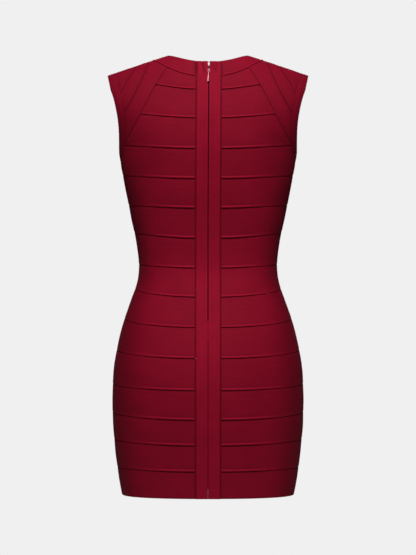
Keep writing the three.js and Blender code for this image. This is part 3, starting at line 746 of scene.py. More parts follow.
def pucker_at(point):
    """Height of the puckers on the back, beside the top of the zip."""
    drop = SHOULDER_TOP - point.z
    below = drop - NECK["back_drop"]
    if point.y > 0 or abs(point.x) > PUCKER_AREA["across"] or drop > PUCKER_AREA["drop"]:
        return 0
    height = 0
    for start, end, end_drop, width, depth in PUCKERS:
        share = clamp(below / (end_drop - NECK["back_drop"]), 0, PUCKER_RUN_ON)
        offset = (point.x - mix(start, end, share)) / width
        fade = smooth((end_drop + PUCKER_END["past"] - drop) / PUCKER_END["length"])
        height += depth * math.exp(-offset * offset) * fade
    return height * mix(PUCKER_CALM["share"], 1, smooth(below / PUCKER_CALM["length"]))


def side_shade_at(point, normal):
    """Share of the painted shade on the sides of the waist, seat and skirt."""
    turned = smooth((abs(normal.x) - SIDE_SHADE["turn"]) / SIDE_SHADE["span"])
    below = smooth((SHOULDER_TOP - point.z - SIDE_SHADE["drop"]) / SIDE_SHADE["fade"])
    return SIDE_SHADE["share"] * turned * below


class Station:
    """One line across a piece: its width, and its place at a distance from the second edge."""

    def __init__(
        self,
        locate,
        place,
        width,
        end_gap=FAR,
        edges=("under", "lap"),
        reach=(0, 0),
        shadow=1,
        tip_width=PINCH_WIDTH,
    ):
        self.locate = locate
        self.place = place
        self.width = width
        self.end_gap = end_gap
        self.edges = edges
        self.reach = reach
        self.shadow = shadow
        self.tip_width = tip_width

    def spot(self, distance):
        return spot(self.locate, *self.place(distance))


def edge_rows(edge, face):
    """Rows of an edge profile. A pair of edges with a share between them gives a mix."""
    if isinstance(edge, str):
        return EDGES[edge][face]
    first, second, share = edge
    pairs = zip(EDGES[first][face], EDGES[second][face])
    return [tuple(mix(a, b, share) for a, b in zip(*rows)) for rows in pairs]


def profile(station, bead, raised, crown):
    """Rows round one section: distance from the second edge, lift, and painted shading (painted shade above
    0, painted highlight below 0).
    """
    fit = min(1, station.width / EDGE_ROOM)
    sunk = 1 - smooth(station.end_gap / SINK_LENGTH)
    sunk = max(sunk, 1 - smooth(station.width / station.tip_width))
    top_reach, low_reach = station.reach

    def rows(layer):
        top = [
            (station.width + top_reach - d * (fit if d > 0 else 1), lift, painted_shading)
            for d, lift, painted_shading in edge_rows(station.edges[0], layer)
        ]
        low = [(d * fit - low_reach, lift, painted_shading) for d, lift, painted_shading in edge_rows(station.edges[1], layer)]
        return top, low

    def across(start, end, share, arch, painted_shading):
        return mix(start[0], end[0], share), mix(start[1], end[1], share) + arch, painted_shading

    top, low = rows(0)
    top.reverse()
    arches = [(share, crown * math.sin(math.pi * share)) for share in MIDDLE_SHARES]
    outer = [*top, *(across(top[-1], low[0], share, arch, 0.0) for share, arch in arches), *low]
    top_in, low_in = rows(1)
    middle = [across(low_in[-1], top_in[-1], share, 0, INNER_PAINTED_SHADE) for share in INNER_SHARES]
    inner = [*low_in, *middle, *top_in[::-1]]
    shaped = []
    for distance, lift, painted_shading in outer:
        lift = raised + min(lift, BEAD_FOOT) + max(lift - BEAD_FOOT, 0) * bead
        painted_shading *= bead if painted_shading < 0 else station.shadow
        shaped.append((distance, mix(lift, min(lift, SUNK_OUTER), sunk), mix(painted_shading, SUNK_PAINTED_SHADE, sunk)))
    for distance, lift, painted_shading in inner:
        shaped.append((distance, mix(lift + raised, min(lift, SUNK_INNER), sunk), painted_shading))
    shaped.append(shaped[0])
    return shaped


def knit_piece(name, stations, ripple, ring=False, bead=1.0, raised=0.0, puckered=False, crown=CROWN_LIFT):
    """Shapes a grid into a closed wall of cloth that follows its stations."""
    lines = [*stations, stations[0]] if ring else stations
    profiles = [profile(station, bead, raised, crown) for station in lines]
    count = len(profiles[0])
    along = [0.0]
    middles = [station.locate(*station.place(station.width / 2)) for station in lines]
    for before, after in zip(middles, middles[1:]):
        along.append(along[-1] + (after - before).length)
    bm = bmesh.new()
    bmesh.ops.create_grid(bm, x_segments=len(lines) - 1, y_segments=count - 1, size=1)
    painted_shading_layer = bm.verts.layers.float.new("painted_shading")
    uv_layer = bm.loops.layers.uv.new("cloth")
    spots = {}
    for vert in bm.verts:
        i = round((vert.co.x + 1) / 2 * (len(lines) - 1))
        j = round((vert.co.y + 1) / 2 * (count - 1))
        distance, lift, painted_shading = profiles[i][j]
        point, normal = lines[i].spot(distance)
        pucker = pucker_at(point) if puckered else 0
        shade = clamp(-pucker * PUCKER_SHADE["share"], PUCKER_SHADE["least"], PUCKER_SHADE["most"])
        spots[vert.index] = (along[i] * MM, distance * MM)
        # Painted shading: the profile's painted shade and highlight, painted shade in the pucker troughs with
        # a painted highlight on their ridges, and painted shade on the sides
        vert[painted_shading_layer] = painted_shading + shade + side_shade_at(point, normal)
        vert.co = (point + normal * (unevenness(point, lift, ripple) + pucker)) * MM
    for face in bm.faces:
        face.smooth = True
        for loop in face.loops:
            loop[uv_layer].uv = spots[loop.vert.index]
    bmesh.ops.remove_doubles(bm, verts=bm.verts, dist=MERGE_DISTANCE)
    cap_ends(bm)
    if bm.calc_volume(signed=True) < 0:
        bmesh.ops.reverse_faces(bm, faces=bm.faces)
    width = max(station.width for station in stations)
    gaps = [after - before for before, after in zip(along, along[1:])]
    area = sum((a.width + b.width) / 2 * gap for a, b, gap in zip(lines, lines[1:], gaps))
    pull_aside(bm)
    return finish_mesh(name, bm), (along[-1], width, area)


def cap_ends(bm):
    """Closes the open ends of a wall with flat, sharp-edged faces."""
    open_edges = [edge for edge in bm.edges if edge.is_boundary]
    if not open_edges:
        return
    for cap in bmesh.ops.holes_fill(bm, edges=open_edges, sides=0)["faces"]:
        cap.smooth = False
        for edge in cap.edges:
            edge.smooth = False


def pull_aside(bm):
    """Moves the top of the zip and its strips a little to one side, as worn."""
    for vert in bm.verts:
        if vert.co.y < 0:
            beside = smooth((abs(vert.co.x) / MM - STRIP_EDGE) / OFF_CENTRE["fade"])
            below = smooth((SHOULDER_TOP - vert.co.z / MM) / OFF_CENTRE["drop"])
            vert.co.x += OFF_CENTRE["shift"] * MM * (1 - beside) * (1 - below)


def finish_mesh(name, bm):
    mesh = bpy.data.meshes.new(name)
    bm.to_mesh(mesh)
    bm.free()
    piece = bpy.data.objects.new(name, mesh)
    bpy.context.scene.collection.objects.link(piece)
    return piece


def dress_piece(piece, material, nodes, body="dress"):
    piece.data.materials.append(material)
    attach(piece, body)
    if nodes:
        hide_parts(*nodes)


def declare_cloth(piece, measure, stretch):
    """Works out the cut that shows, before the wearer's shape stretches it along its length, and does nothing
    with it.
    """
    length, width, area = (measure[0] / stretch * MM, measure[1] * MM, measure[2] / stretch * MM * MM)
    share = clamp(area / (length * width), LEAST_AREA_SHARE, 1)


def line_down(locate, first, top, bottom):
    """The width of a line between two drops, and its place at a distance from the lower one."""
    steps = [locate(first, mix(bottom, top, step / LINE_PARTS)) for step in range(LINE_PARTS + 1)]
    width = max(path_length(steps), LEAST_WIDTH)
    rate = max((bottom - top) / width, LEAST_RATE)
    return (lambda distance: (first, bottom - distance * rate)), width


def band_station(face, number, side, angle=None, across=None, end_gap=FAR):
    """A line down a horizontal band, at an angle or at a distance across."""
    near = angle if angle is not None else angle_at(face, across, BAND_EDGES[number][0])
    top = upper_drop(face, number, near)
    bottom = band_edge_drop(number, near)
    locate = on_side(face) if angle is not None else on_face(face)
    first = side * (angle if angle is not None else across)
    place, width = line_down(locate, first, top, bottom)
    fade = smooth((near - BEAD_FADE["start"]) / BEAD_FADE["length"])
    lower = ("lap", "flush", fade * BEAD_FADE["share"])
    edges = ("under", "free" if number == len(BAND_EDGES) - 1 else lower)
    shadow = mix(1, BEAD_FADE["shadow"], fade)
    return Station(locate, place, width, end_gap=end_gap, edges=edges, shadow=shadow)


def spread(start, end, step, kinks=()):
    """Values from start to end, about a step apart, with the kinks among them."""
    marks = sorted({start, end, *(kink for kink in kinks if start < kink < end)})
    values = []
    for low, high in zip(marks, marks[1:]):
        count = max(round((high - low) / step), 1)
        values += [mix(low, high, i / count) for i in range(count)]
    return [*values, end]


def end_gap_at(outer, angle, number):
    """How far a line is from the side seam, where the band has one."""
    gap = (outer - angle) * LENGTH_PER_DEGREE if number >= FIRST_SIDE_BAND else FAR
    return gap + SIDE_OVERLAP


def back_band_stations(number, side):
    stations = []
    for across in NEAR_STRIP:
        gap = max(across - STRIP_EDGE, 0)
        stations.append(band_station(BACK, number, side, across=across, end_gap=gap))
    top = BAND_EDGES[number - 1][0] if number else NECK_SEAM["back_drop"]
    start = max(angle_at(BACK, NEAR_STRIP[-1] + PAST_STRIP, drop) for drop in (top, BAND_EDGES[number][0]))
    kinks = []
    if number == 0:
        kinks.append(diagonal_place(BACK, 0)[0])
    if number == FIRST_SIDE_BAND:
        kinks.append(armhole_start_angle(BACK))
    outer = diagonal_angle(BACK, number) if number < FIRST_SIDE_BAND else 90
    near_end = [outer - gap for gap in NEAR_SEAM[::-1]]
    for angle in spread(start, near_end[0], BAND_STEP, kinks):
        stations.append(band_station(BACK, number, side, angle=angle))
    for angle in near_end[1:]:
        gap = end_gap_at(outer, angle, number)
        stations.append(band_station(BACK, number, side, angle=angle, end_gap=gap))
    return stations


def front_band_stations(number):
    outer = diagonal_angle(FRONT, number) if number < FIRST_SIDE_BAND else 90
    kinks = []
    if number == FIRST_FRONT_BAND:
        kinks += [neck_meeting(), diagonal_angle(FRONT, 1)]
    if number == FIRST_SIDE_BAND:
        kinks.append(armhole_start_angle(FRONT))
    half = spread(0, outer - NEAR_SEAM[-1], BAND_STEP, kinks) + [outer - gap for gap in NEAR_SEAM[-2::-1]]
    angles = [-angle for angle in half[:0:-1]] + half
    stations = []
    for angle in angles:
        side, gap = math.copysign(1, angle), end_gap_at(outer, abs(angle), number)
        stations.append(band_station(FRONT, number, side, angle=abs(angle), end_gap=gap))
    return stations


def neck_meeting():
    """The angle where the front neckband's seam meets the lower edge of the yoke."""
    far = diagonal_place(FRONT, 0)[0]

    def above(share):
        angle = mix(2, far, share)
        return yoke_drop(FRONT, angle) - band_edge_drop(1, angle)

    return mix(2, far, share_where(above))


def yoke_stations(side):
    kinks = [diagonal_place(FRONT, 0)[0]]
    locate = on_side(FRONT)
    stations = []
    for angle in spread(neck_meeting(), diagonal_angle(FRONT, 1), YOKE_STEP, kinks):
        line = line_down(locate, side * angle, yoke_drop(FRONT, angle), band_edge_drop(1, angle))
        stations.append(Station(locate, *line))
    return stations


def between(start, end, side):
    """The width of a line between two places of the crown, and its place at a distance."""

    def along(share):
        return [mix(a, b, share) for a, b in zip(start, end)]

    points = [on_crown(*along(step / LINE_PARTS)) for step in range(LINE_PARTS + 1)]
    width = max(path_length(points), LEAST_WIDTH)

    def place(distance):
        across, rise = along(1 - distance / width)
        return side * across, rise

    return place, width


def neckband_stations():
    """From one strip round the front to the other, with its second edge on the seam."""

    def end_at(shape, share):
        start = math.degrees(math.asin((STRIP_EDGE - NECK_OVERLAP) / shape["half_width"]))
        return neck_curve(shape, mix(start, 180, share))

    shares = [*NECK_FIRST_SHARES, *spread(0.05, 1, NECK_STEP)]
    half = [(end_at(NECK, share), end_at(NECK_SEAM, share)) for share in shares]
    stations = []
    for side, lines in ((1, half), (-1, half[-2::-1])):
        for edge, seam in lines:
            gap = max(abs(edge[0]) - STRIP_EDGE, 0) if edge[1] < CREST else FAR
            line = between(seam, edge, side)
            stations.append(Station(on_crown, *line, end_gap=gap, edges=("lap", "free"), reach=(1.0, 0)))
    return stations


def shoulder_stations(inner_at, outer_at, end_at, side, edges_at, tip_width):
    """A band over the shoulder, from the armhole seam at the back to the one at the front."""
    shares = [*spread(0, 0.93, SHOULDER_STEP), *SHOULDER_LAST_SHARES]
    halves = []
    for face in (BACK, FRONT):
        lines = []
        for share in shares:
            inner, outer = inner_at[face](share), outer_at(share)
            if end_at and share == 1:
                inner, outer = end_at(0), end_at(1)
            if face == FRONT:
                inner, outer = (inner[0], 180 - inner[1]), (outer[0], 180 - outer[1])
            lines.append((share, between(outer, inner, side)))
        halves.append(lines)
    back, front = halves
    stations = []
    for share, line in [*back[:0:-1], *front]:
        looks = {"end_gap": (1 - share) * SHOULDER_LENGTH, "edges": edges_at(share), "tip_width": tip_width}
        stations.append(Station(on_crown, *line, reach=(0, 1.0), **looks))
    return stations


def shoulder_edges(row, turn_share):
    """Seams of a shoulder band, which soften towards the crest of the shoulder."""
    seams = SHOULDER_SEAMS[row]

    def at(share):
        growth = smooth((share - seams["outer_start"]) / SEAM_GROWTH["outer"])
        upper = ("tuck", "under", growth * SEAM_GROWTH["outer_strength"])
        growth = smooth((share - seams["inner_start"] + SEAM_GROWTH["lead"]) / SEAM_GROWTH["inner"])
        lower = ("flush", "seam", growth * seams["strength"])
        if row == "inner":
            growth = smooth((share - turn_share + TURN_GROWTH["lead"]) / TURN_GROWTH["length"])
            lower = ("under", "seam", growth)
        return upper, lower

    return at


def inner_band_edge(face, turn_share):
    """Along the neckband's seam first, then along the inner diagonal."""
    curve = INNER[face]
    start_turn = math.degrees(math.asin(curve(0)[0] / NECK_SEAM["half_width"]))

    def at(share):
        if share < turn_share:
            turn = mix(90, start_turn, share / turn_share)
            across, rise = neck_curve(NECK_SEAM, turn if face == BACK else 180 - turn)
            return across, min(rise, 180 - rise)
        return curve((share - turn_share) / (1 - turn_share))

    return at


def seam_part(start, end):
    """The part of the armhole seam between two of its shares."""

    def at(share):
        across, drop = settle(*armhole_seam(mix(start, end, share)))
        return across, rise_at(across, drop)

    return at


def armhole_stations(side):
    """A ring round the armhole, with its second edge on the opening."""
    shares = spread(0, 1, 1 / ARMHOLE_LINES)
    back = [armhole_station(side, BACK, share) for share in shares]
    front = [armhole_station(side, FRONT, share) for share in shares[-2:0:-1]]
    return back + front


def armhole_station(side, face, share):
    edge, seam = armhole_edge(share), armhole_seam(share)
    crown = share < ARMHOLE_CROWN
    locate = on_crown if crown else on_side(face)

    def place_at(v):
        angle, rise = (mix(a, b, v) for a, b in zip(edge, seam))
        across, drop = settle(angle, rise)
        if crown:
            return side * across, (rise if face == BACK else 180 - rise)
        return side * angle_at(face, across, drop), drop

    width = path_length([locate(*place_at(v / 4)) for v in range(5)])
    growth = smooth((share - ARMHOLE_CROWN) / ARMHOLE_GROWTH["length"])
    seam_edge = ("flush", "seam", growth * ARMHOLE_GROWTH["strength"])
    return Station(locate, lambda d: place_at(d / width), width, edges=(seam_edge, "free"), reach=(1.0, 0))


def slit_half(drop):
    share = clamp((ZIP_END_DROP - drop) / SLIT_CLOSING)
    notch = clamp(1 - (drop - NECK["back_drop"]) / NOTCH_DEPTH)
    return mix(SHUT_SLIT, ZIP_SLIT, share) / 2 + notch**NOTCH_CURVE * (NOTCH_WIDTH - ZIP_SLIT) / 2


def strip_stations(side):
    """Down the centre back, with the second edge at the outer side of the strip."""
    top = NECK["back_drop"]
    drops = spread(top, top + NOTCH_DEPTH, NOTCH_STEP)
    drops += spread(top + NOTCH_DEPTH + 3, HEM_DROP - 4, STRIP_STEP, [ZIP_END_DROP])
    drops += [HEM_DROP - gap for gap in HEM_GAPS]
    stations = []
    for drop in drops:
        place = place_beside(side, STRIP_EDGE, drop)
        gap = min(drop - top, HEM_DROP - drop) * STRIP_END["rate"] + STRIP_END["least"]
        width = STRIP_EDGE - slit_half(drop)
        stations.append(Station(on_face(BACK), place, width, end_gap=gap, edges=strip_edges(drop)))
    return stations


def strip_edges(drop):
    """Open beside the zip, closed below its end, then a seam down to the hem."""
    past_end = drop - ZIP_END_DROP
    inner = ("slit", "closed", smooth((past_end + SHUTTING["lead"]) / SHUTTING["length"]))
    if past_end > CLOSED_LENGTH / 2:
        opening = (past_end - CLOSED_LENGTH + SHUTTING["lead"]) / SHUTTING["groove_length"]
        inner = ("closed", "groove", smooth(opening))
    growth = smooth((drop - NECK_SEAM["back_drop"] + STRIP_SEAM["lead"]) / STRIP_SEAM["length"])
    outer = ("flush", "seam", mix(STRIP_SEAM["least"], 1, growth))
    return inner, outer


def tape_stations(side):
    """A zip tape under each strip, with its first edge against the other tape."""
    stations = []
    for drop in spread(NECK["back_drop"] + NOTCH_DEPTH, ZIP_END_DROP + TAPE_TAIL, STRIP_STEP):
        place = place_beside(side, TAPE_WIDTH + TAPE_GAP, drop)
        stations.append(Station(on_face(BACK), place, TAPE_WIDTH, edges=("tape", "tape")))
    return stations


def place_beside(side, outer, drop):
    return lambda distance: (side * (outer - distance), drop)


# Zip


def on_zip(drop, lift, across=0.0):
    """A place above the middle of the zip, with the cloth's own unevenness."""
    point, normal = spot(on_face(BACK), across, drop)
    uneven = wander(point, WANDER["broad"], bpy.context.scene.dress_sizes.ripple)
    return point + normal * (lift + uneven), normal


def zip_coil():
    """Small rounded teeth that meet from both sides, from the slider down to the zip's end."""
    bm = bmesh.new()
    count = round((ZIP_END_DROP - COIL["start"]) / (COIL["pitch"] / 2))
    for number in range(count):
        drop = COIL["start"] + number * COIL["pitch"] / 2
        side = 1 if number % 2 else -1
        place, normal = on_zip(drop, COIL["lift"])
        tooth = bmesh.ops.create_cube(bm, size=1)["verts"]
        bmesh.ops.scale(bm, verts=tooth, vec=(COIL["length"], COIL["height"], COIL["thickness"]))
        turn = Vector((0, -1, 0)).rotation_difference(normal).to_matrix()
        bmesh.ops.rotate(bm, verts=tooth, matrix=turn)
        bmesh.ops.translate(bm, verts=tooth, vec=place + Vector((side * COIL_SPLIT, 0, 0)))
    bevel_edges(bm, bm.edges[:], COIL_BEVEL, 1)
    return metal_piece("zip_coil", bm)


def bevel_edges(bm, edges, offset, segments):
    bmesh.ops.bevel(
        bm, geom=edges, offset=offset, segments=segments, profile=0.5, affect="EDGES", material=-1
    )


def metal_piece(name, bm, smooth_faces=False):
    """Turns millimetres to metres and makes the piece."""
    bmesh.ops.scale(bm, verts=bm.verts, vec=(MM, MM, MM))
    bmesh.ops.recalc_face_normals(bm, faces=bm.faces)
    for face in bm.faces:
        face.smooth = smooth_faces
    pull_aside(bm)
    return finish_mesh(name, bm)


def tube(bm, path, radius, across, closed=False, sides=10):
    """A round wire along a flat path. The direction across is square to its plane."""
    count = len(path)
    lines = count if closed else count - 1
    made = bmesh.ops.create_grid(bm, x_segments=lines, y_segments=sides, size=1)["verts"]
    for vert in made:
        at = round((vert.co.x + 1) / 2 * lines)
        turn = math.tau * round((vert.co.y + 1) / 2 * sides) / sides
        before, after = at - 1, at + 1
        if not closed:
            before, after = max(before, 0), min(after, count - 1)
        along = Vector(path[after % count]) - Vector(path[before % count])
        outward = Vector(across).cross(along).normalized()
        offset = Vector(across) * math.cos(turn) + outward * math.sin(turn)
        vert.co = Vector(path[at % count]) + offset * radius
    bmesh.ops.remove_doubles(bm, verts=made, dist=1e-5)
    ends = [edge for edge in bm.edges if edge.is_boundary]
    if ends:
        bmesh.ops.holes_fill(bm, edges=ends, sides=0)


def plate(bm, outline_at, thickness, bevel, segments=40):
    """A plate that stands on y 0 and rises to minus its thickness, with rounded rims."""
    first = len(bm.verts)
    made = bmesh.ops.create_circle(bm, cap_ends=True, segments=segments, radius=1)["verts"]
    for vert in made:
        x, z = outline_at(math.atan2(vert.co.x, vert.co.y))
        vert.co = (x, 0, z)
    bottom = list({face for vert in made for face in vert.link_faces})
    raised = bmesh.ops.extrude_face_region(bm, geom=bottom)["geom"]
    lifted = [item for item in raised if isinstance(item, bmesh.types.BMVert)]
    bmesh.ops.translate(bm, verts=lifted, vec=(0, -thickness, 0))
    bm.verts.ensure_lookup_table()
    piece = set(bm.verts[first:])

    def is_level(edge):
        return abs(edge.verts[0].co.y - edge.verts[1].co.y) < 1e-6

    rims = [edge for edge in bm.edges if set(edge.verts) <= piece and is_level(edge)]
    bevel_edges(bm, rims, bevel, 3)


def slider_frame():
    """Where the slider sits, and how it is turned: Y into the cloth and Z up along it."""
    point, normal = spot(on_face(BACK), 0, SLIDER_DROP)
    return point + normal * SLIDER_LIFT, math.atan2(-normal.z, -normal.y)


def put(bm, place, turn):
    bmesh.ops.rotate(bm, verts=bm.verts, matrix=Matrix.Rotation(turn, 3, "X"))
    bmesh.ops.translate(bm, verts=bm.verts, vec=place)


def arc_path(half_length, height, foot, steps=14):
    """An arch from one foot to the other."""
    path = []
    for step in range(steps + 1):
        turn = math.pi * step / steps
        path.append((0, foot - height * math.sin(turn) ** 0.6, half_length * math.cos(turn)))
    return path


def slider_piece():
    """A waisted body with a bail over it and a neck down to the coil."""
    bm = bmesh.new()
    half = SLIDER["length"] / 2

    def outline(turn):
        z = half * squared_off(math.cos(turn), SLIDER_CORNER)
        reach = mix(SLIDER["waist"], SLIDER["width"], smooth((z / half + 1) / 2)) / 2
        return reach * squared_off(math.sin(turn), SLIDER_CORNER), z

    plate(bm, outline, SLIDER["height"], SLIDER["bevel"])
    block = bmesh.ops.create_cube(bm, size=1)["verts"]
    bmesh.ops.scale(bm, verts=block, vec=(NECK_BLOCK["width"], NECK_BLOCK["height"], NECK_BLOCK["length"]))
    bmesh.ops.translate(bm, verts=block, vec=(0, NECK_BLOCK["height"] / 2 - 1, 0))
    path = arc_path(BAIL["length"] / 2, BAIL["height"], -SLIDER["height"] + 0.3)
    tube(bm, path, BAIL["wire"], (1, 0, 0))
    put(bm, *slider_frame())
    return metal_piece("slider_body", bm, True)


def pull_piece():
    """A wire eye with a long drop below it."""
    bm = bmesh.new()
    eye = []
    middle = -PULL_EYE["length"] / 2
    for step in range(EYE_STEPS):
        turn = math.tau * step / EYE_STEPS
        x = PULL_EYE["half_width"] * squared_off(math.sin(turn), EYE_CORNER)
        z = middle + PULL_EYE["length"] / 2 * squared_off(math.cos(turn), EYE_CORNER)
        eye.append((x, 0, z))
    tube(bm, eye, PULL_EYE["wire"], (0, 1, 0), closed=True)
    length = PULL_DROP["end"] - PULL_DROP["start"]

    def outline(turn):
        share = (1 - math.cos(turn)) / 2
        swell = smooth(share / PULL_SWELL)
        end = math.sqrt(clamp(1 - max((share - 1 + PULL_ROUNDING) / PULL_ROUNDING, 0) ** 2))
        reach = mix(PULL_DROP["neck"], PULL_DROP["widest"], swell) * end * min(abs(math.sin(turn)) * 4, 1)
        return math.copysign(reach, math.sin(turn)), -PULL_DROP["start"] - length * share

    plate(bm, outline, PULL_DROP["thickness"], PULL_DROP["bevel"], PULL_CORNERS)
    flat = [vert for vert in bm.verts if vert.co.z < -PULL_EYE["length"] - PULL_EYE["wire"]]
    bmesh.ops.translate(bm, verts=flat, vec=(0, PULL_DROP["thickness"] / 2, 0))
    bmesh.ops.rotate(bm, verts=bm.verts, matrix=Matrix.Rotation(math.radians(PULL_SWAY), 3, "Y"))
    place, turn = slider_frame()
    pivot = place + Matrix.Rotation(turn, 3, "X") @ Vector((0, PULL_PIVOT, 0))
    put(bm, pivot, turn + math.radians(PULL_LEAN))
    return metal_piece("pull_tab", bm, True)


def neck_loop():
    """A thread loop that holds the neck edge closed above the zip."""
    bm = bmesh.new()
    path = []
    for step in range(HOOK_STEPS + 1):
        share = step * 2 / HOOK_STEPS - 1
        lift = HOOK["lift"] - HOOK["sink"] * abs(share) ** 3
        place, _ = on_zip(HOOK["drop"], lift, HOOK["reach"] * share)
        path.append(tuple(place))
    tube(bm, path, HOOK["wire"], (0, 0, 1))
    return metal_piece("neck_loop", bm, True)


# Materials


def node(tree, kind, place, **settings):
    made = tree.nodes.new(kind)
    made.location = place
    for key, value in settings.items():
        setattr(made, key, value)
    return made


def set_inputs(shader, **values):
    for key, value in values.items():
        shader.inputs[key.replace("_", " ")].default_value = value


def math_node(tree, operation, place, *inputs, use_clamp=False):
    made = node(tree, "ShaderNodeMath", place, operation=operation, use_clamp=use_clamp)
    for socket, value in zip(made.inputs, inputs):
        if isinstance(value, (int, float)):
            socket.default_value = value
        else:
            tree.links.new(value, socket)
    return made.outputs[0]


def mix_colour(tree, place, factor, first, second):
    made = node(tree, "ShaderNodeMix", place, data_type="RGBA", clamp_result=False)
    for socket, value in ((made.inputs[0], factor), (made.inputs[6], first), (made.inputs[7], second)):
        if isinstance(value, (int, float, tuple)):
            socket.default_value = value
        else:
            tree.links.new(value, socket)
    return made.outputs[2]


def new_material(name):
    material = bpy.data.materials.new(name)
    material.use_nodes = True
    tree = material.node_tree
    return material, tree, tree.nodes["Principled BSDF"]


def add_bump(tree, shader, place, height, strength, distance):
    bump = node(tree, "ShaderNodeBump", place)
    set_inputs(bump, Strength=strength, Distance=distance)
    tree.links.new(height, bump.inputs["Height"])
    tree.links.new(bump.outputs[0], shader.inputs["Normal"])


def shaded(colour, scale):
    return (*(channel * scale for channel in colour[:3]), 1.0)


def knit_material(name, colours, sizes, painted_light_scale=1.0):
    """Fine ribs along the cloth, uneven yarn, painted highlights on the rolled edges and painted shade in the
    seams.
    """
    material, tree, shader = new_material(name)
    # A lighter copy of the knit for the strips, painted light
    base = shaded(colours.knit, painted_light_scale)
    uv = node(tree, "ShaderNodeUVMap", (-1500, 0), uv_map="cloth")
    split = node(tree, "ShaderNodeSeparateXYZ", (-1320, 0))
    tree.links.new(uv.outputs[0], split.inputs[0])
    ribs = math_node(tree, "MULTIPLY", (-1140, 120), split.outputs[1], math.tau / sizes.rib_spacing)
    ribs = math_node(tree, "SINE", (-960, 120), ribs)
    loops = math_node(tree, "MULTIPLY", (-1140, -40), split.outputs[0], math.tau / sizes.stitch_spacing)
    loops = math_node(tree, "SINE", (-960, -40), loops)
    streak_place = node(tree, "ShaderNodeMapping", (-1320, -260))
    streak_place.inputs["Scale"].default_value = (14, 420, 1)
    tree.links.new(uv.outputs[0], streak_place.inputs[0])
    streak = node(tree, "ShaderNodeTexNoise", (-1140, -260), noise_dimensions="2D")
    set_inputs(streak, Scale=1.0, Detail=3.0, Roughness=0.55)
    tree.links.new(streak_place.outputs[0], streak.inputs["Vector"])
    cloud_place = node(tree, "ShaderNodeTexCoord", (-1320, -520))
    cloud = node(tree, "ShaderNodeTexNoise", (-1140, -520))
    set_inputs(cloud, Scale=22.0, Detail=3.0, Roughness=0.5)
    tree.links.new(cloud_place.outputs["Object"], cloud.inputs["Vector"])
    height = math_node(tree, "MULTIPLY_ADD", (-760, 120), ribs, 0.36, 0.5)
    height = math_node(tree, "MULTIPLY_ADD", (-580, 120), loops, 0.14, height)
    height = math_node(tree, "MULTIPLY_ADD", (-400, 60), streak.outputs[0], 0.9, height)
    add_bump(tree, shader, (-200, -160), height, 0.55, sizes.rib_depth)
    # The painted shading attribute: above 0 it mixes in painted shade, below 0 a painted highlight
    painted_shading = node(tree, "ShaderNodeAttribute", (-1320, 420), attribute_name="painted_shading")
    # Painted shade where the shading is above 0
    shadow = math_node(tree, "MULTIPLY", (-1140, 480), painted_shading.outputs["Fac"], 1.0, use_clamp=True)
    # Painted highlight where the shading is below 0, on the crests of the rolled edges and ribs
    crest = math_node(tree, "MULTIPLY", (-1140, 340), painted_shading.outputs["Fac"], -1.0, use_clamp=True)
    tone = math_node(tree, "MULTIPLY_ADD", (-580, -320), streak.outputs[0], 0.45, 0.0)
    tone = math_node(tree, "MULTIPLY_ADD", (-400, -320), cloud.outputs[0], 0.55, tone)
    colour = mix_colour(tree, (-400, 420), tone, shaded(base, 0.72), shaded(base, 1.28))
    colour = mix_colour(tree, (-220, 420), crest, colour, shaded(base, sizes.crest_highlight_tone))
    colour = mix_colour(tree, (-40, 420), shadow, colour, shaded(base, sizes.painted_shade_tone))
    tree.links.new(colour, shader.inputs["Base Color"])
    set_inputs(shader, Roughness=0.72, Sheen_Weight=0.02, Sheen_Roughness=0.5)
    shader.inputs["Sheen Tint"].default_value = (1.0, 0.3, 0.38, 1.0)
    shader.inputs["Specular IOR Level"].default_value = 0.05
    return material


def tape_material(name, colours):
    """A fine herringbone on the zip's woven tape and coil."""
    material, tree, shader = new_material(name)
    place = node(tree, "ShaderNodeTexCoord", (-900, 0))
    weave = node(tree, "ShaderNodeTexWave", (-700, 0), wave_type="BANDS", bands_direction="DIAGONAL")
    set_inputs(weave, Scale=420.0, Distortion=0.6)
    tree.links.new(place.outputs["Object"], weave.inputs["Vector"])
    dark, light = shaded(colours.tape, 0.8), shaded(colours.tape, 1.25)
    colour = mix_colour(tree, (-400, 160), weave.outputs["Fac"], dark, light)
    tree.links.new(colour, shader.inputs["Base Color"])
    add_bump(tree, shader, (-300, -160), weave.outputs["Fac"], 0.4, 0.0002)
    set_inputs(shader, Roughness=0.8)
    shader.inputs["Specular IOR Level"].default_value = 0.08
    return material


def enamel_material(name, colours, painted_light_scale=1):
    """Painted metal with a little wear where fingers rub it."""
    material, tree, shader = new_material(name)
    place = node(tree, "ShaderNodeTexCoord", (-900, 0))
    wear = node(tree, "ShaderNodeTexNoise", (-700, 0))
    set_inputs(wear, Scale=900.0, Detail=4.0, Roughness=0.6)
    tree.links.new(place.outputs["Object"], wear.inputs["Vector"])
    # A darker copy for the slider, painted shade
    dark, light = (shaded(colours.enamel, share * painted_light_scale) for share in (0.86, 1.1))
    colour = mix_colour(tree, (-400, 160), wear.outputs[0], dark, light)
    tree.links.new(colour, shader.inputs["Base Color"])
    rough = math_node(tree, "MULTIPLY_ADD", (-400, -60), wear.outputs[0], 0.2, 0.45)
    tree.links.new(rough, shader.inputs["Roughness"])
    add_bump(tree, shader, (-300, -220), wear.outputs[0], 0.2, 0.0001)
    set_inputs(shader, Metallic=0.1)
    shader.inputs["Specular IOR Level"].default_value = 0.3
    return material


# Settings


